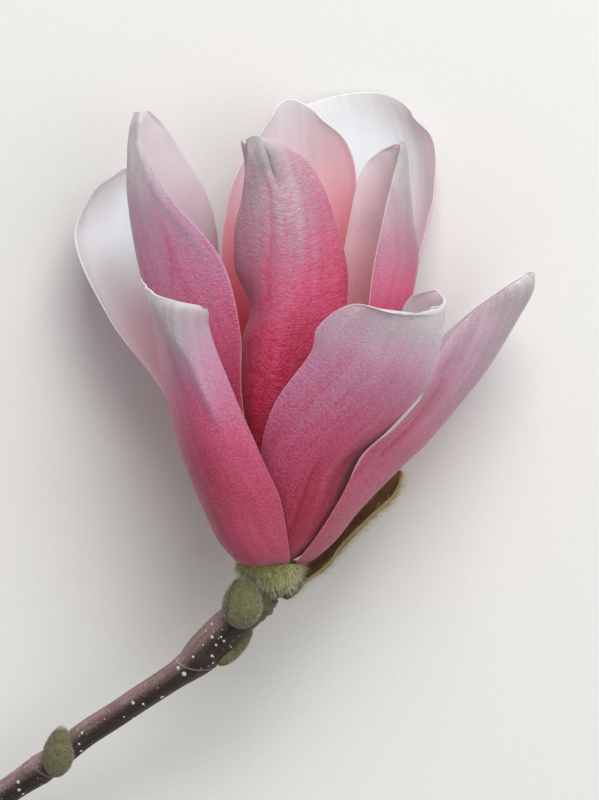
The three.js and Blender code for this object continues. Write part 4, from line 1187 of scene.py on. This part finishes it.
def scaleMaterial():
    material, tree, shader = newMaterial("scale skin", Roughness=0.75)
    place = objectPlace(tree)
    outside, along, edge = (attribute(tree, label) for label in ("outside", "along", "edge"))
    nap = noise(tree, place, Scale=2600, Detail=3, Roughness=0.7)
    patch = noise(tree, place, Scale=420, Detail=3, Roughness=0.6)
    tone = summed(tree, nap, 0.55, product(tree, patch, 0.6))
    tone = summed(tree, stretched(tree, along, 0.5, 1), 0.3, tone)
    skin = colourRamp(tree, calculate(tree, "SUBTRACT", tone, 0.08), budScale["skin"])
    skin = overlaid(tree, skin, budScale["edge"], edge, budScale["edgeShare"])
    skin = overlaid(tree, skin, budScale["young"], stretched(tree, along, 0.34, 0.22))
    inside = colourRamp(tree, calculate(tree, "SUBTRACT", tone, 0.1), budScale["inside"])
    inside = overlaid(tree, inside, budScale["edge"], edge, budScale["edgeShare"])
    tree.links.new(blended(tree, outside, inside, skin), shader.inputs["Base Color"])
    addBump(tree, shader, 0.8, 0.2 * mm, nap)
    return material


def makeBudScale(tools):
    rows, columns = budScale["rows"], budScale["columns"]
    along = np.linspace(0, 1, rows + 1)[:, None]
    across = np.linspace(-1, 1, columns + 1)[None, :]
    rails = [smoothCurve(budScale[rail], along[:, 0])[:, None] for rail in ("left", "midrib", "right")]
    toTip = np.clip((along - budScale["tipFrom"]) / (1 - budScale["tipFrom"]), 0, 0.98)
    across = across * np.sqrt(1 - toTip ** 2)    # rounds the tip
    middle = acrossBlade(*rails, across[..., None])
    lumps = budScale["lumps"] * np.sin(along * 23 + across * 3) * np.cos(across * 4 + along * 7)
    middle = middle + outwardOf(middle) * lumps[..., None]
    outer, inner = bladeSides(middle, across, along, budScale)
    rings = np.concatenate([outer, inner[:, ::-1]], axis=1)

    def bothSides(onOuter, onInner):    # once round the section
        return np.concatenate([onOuter + 0 * across, onInner + 0 * across], axis=1)

    onOuter, alongRound = bothSides(1, 0), bothSides(along, along)
    hairy = onOuter * (0.35 + 0.65 * smoothStep(0.1, 0.4, alongRound))
    edge = smoothStep(0.75, 1, bothSides(np.abs(across), np.abs(across)))
    edge = np.maximum(edge, smoothStep(0.9, 1, alongRound))
    marks = {"hairy": hairy, "outside": onOuter, "along": alongRound, "edge": edge}
    marks = {label: mark.ravel() for label, mark in marks.items()}
    body = newObject("bud_scale_skin", fromFoot(rings.reshape(-1, 3)), bladeFaces(rows, columns, 0), marks)
    finish = hairMaterial("scale fur", budScale)
    growHairs(body, "bud_scale_fur", "bud_scale", finish, tools, budScale["growth"], budScale)
    finishPiece(body, "bud_scale", scaleMaterial())


# Column: stamens round the foot of a cone of carpels, both set in the golden spiral.
column = {
    "stamens": {"count": 46, "length": 7.5, "width": 1.1, "thick": 0.5, "lean": 12, "low": 3.1, "high": 6.8,
                "hook": 0.04, "core": [(2.4, 2.0), (3, 2.15), (8.6, 2.1), (9.2, 1.6)],
                "colours": [(0, (150, 34, 74)), (0.5, (190, 62, 104)), (1, (222, 150, 160))]},
    "carpels": {"count": 44, "length": 4, "width": 1.2, "thick": 0.55, "lean": 22, "low": 11.6, "high": 22.6,
                "hook": 0.35, "core": [(9.5, 1.5), (10.2, 2.0), (16, 1.75), (22, 1.2), (23.4, 0.5)],
                "colours": [(0, (96, 112, 48)), (0.5, (150, 160, 84)), (1, (206, 150, 140))]},
    "surface": {"Roughness": 0.5, "Subsurface Weight": 0.2, "Subsurface Scale": 0.6 * mm},
    "coreSides": 40, "coreRings": 50, "strapRings": 9, "strapSides": 6, "seed": 15,
    "rootDepth": 0.3, "unevenLean": 0.05, "unevenLength": (0.88, 1.05),
}


def strapShape(name, values):    # a pointed strap one unit long, hooked outward at its tip
    share = np.linspace(0, 1, column["strapRings"])
    width = values["width"] / values["length"] / 2 * np.interp(share, (0, 0.15, 0.7, 1), (0.7, 1, 0.75, 0.08))
    angle = turnsRound(column["strapSides"])
    flatness = values["thick"] / values["width"]
    hook = (values["hook"] * share ** 3)[:, None]
    points = np.stack([np.outer(width * flatness, np.cos(angle)) + hook, np.outer(width, np.sin(angle)),
                       share[:, None] + 0 * angle], -1)
    return newObject(name, points.reshape(-1, 3), closedFaces(len(share), len(angle)))


def columnMaterial(name, stops):
    material, tree, shader = newMaterial(name, **column["surface"])
    mottle = noise(tree, objectPlace(tree), Scale=700, Detail=3, Roughness=0.6)
    skin = colourRamp(tree, stretched(tree, mottle, 0.25, 0.75), stops)
    tree.links.new(skin, shader.inputs["Base Color"])
    addBump(tree, shader, 0.4, 0.1 * mm, mottle)
    return material


def makeColumn(placing):
    for name, node, slot in (("stamens", "stamens", "stamen"), ("carpels", "pistil", "pistil")):
        values = column[name]
        material = columnMaterial(name + " skin", values["colours"])
        heights, radii = np.array(values["core"], float).T
        level = np.linspace(heights[0], heights[-1], column["coreRings"])
        path = np.stack([0 * level, level, 0 * level], 1)
        rings = ringsAlong(path, np.interp(level, heights, radii), column["coreSides"])
        finishPiece(closedLoft(node + "_core", rings), node, material)

        order = np.arange(values["count"])
        angle = order * math.pi * (3 - math.sqrt(5))
        height = np.interp(order, (0, values["count"] - 1), (values["low"], values["high"]))
        aside = np.stack([np.cos(angle), 0 * angle, np.sin(angle)], 1)
        depth = np.interp(height, heights, radii) - column["rootDepth"]
        roots = aside * depth[:, None] + height[:, None] * [0, 1, 0]
        lean = math.radians(values["lean"])
        facing = math.sin(lean) * aside + math.cos(lean) * np.array([0, 1.0, 0])
        rng = np.random.default_rng(column["seed"])
        facing = unit(facing + rng.normal(0, column["unevenLean"], facing.shape))
        lengths = values["length"] * rng.uniform(*column["unevenLength"], values["count"])
        strap = strapShape(name + "Strap", values)
        straps = placed(node + "_straps", fromFoot(roots), facing, aside, lengths, strap, material, placing)
        discard(strap)
        finishPiece(straps, node)


placing = placingTree()
makeTwig(placing)
print("twig made")
hairTools = (hairTree(), makeHairShape())
makeStalk(hairTools)
makeBuds(hairTools)
makeBudScale(hairTools)
discard(hairTools[1])
print("stalk, buds and bud scale made")
makeColumn(placing)
print("stamens and pistil made")
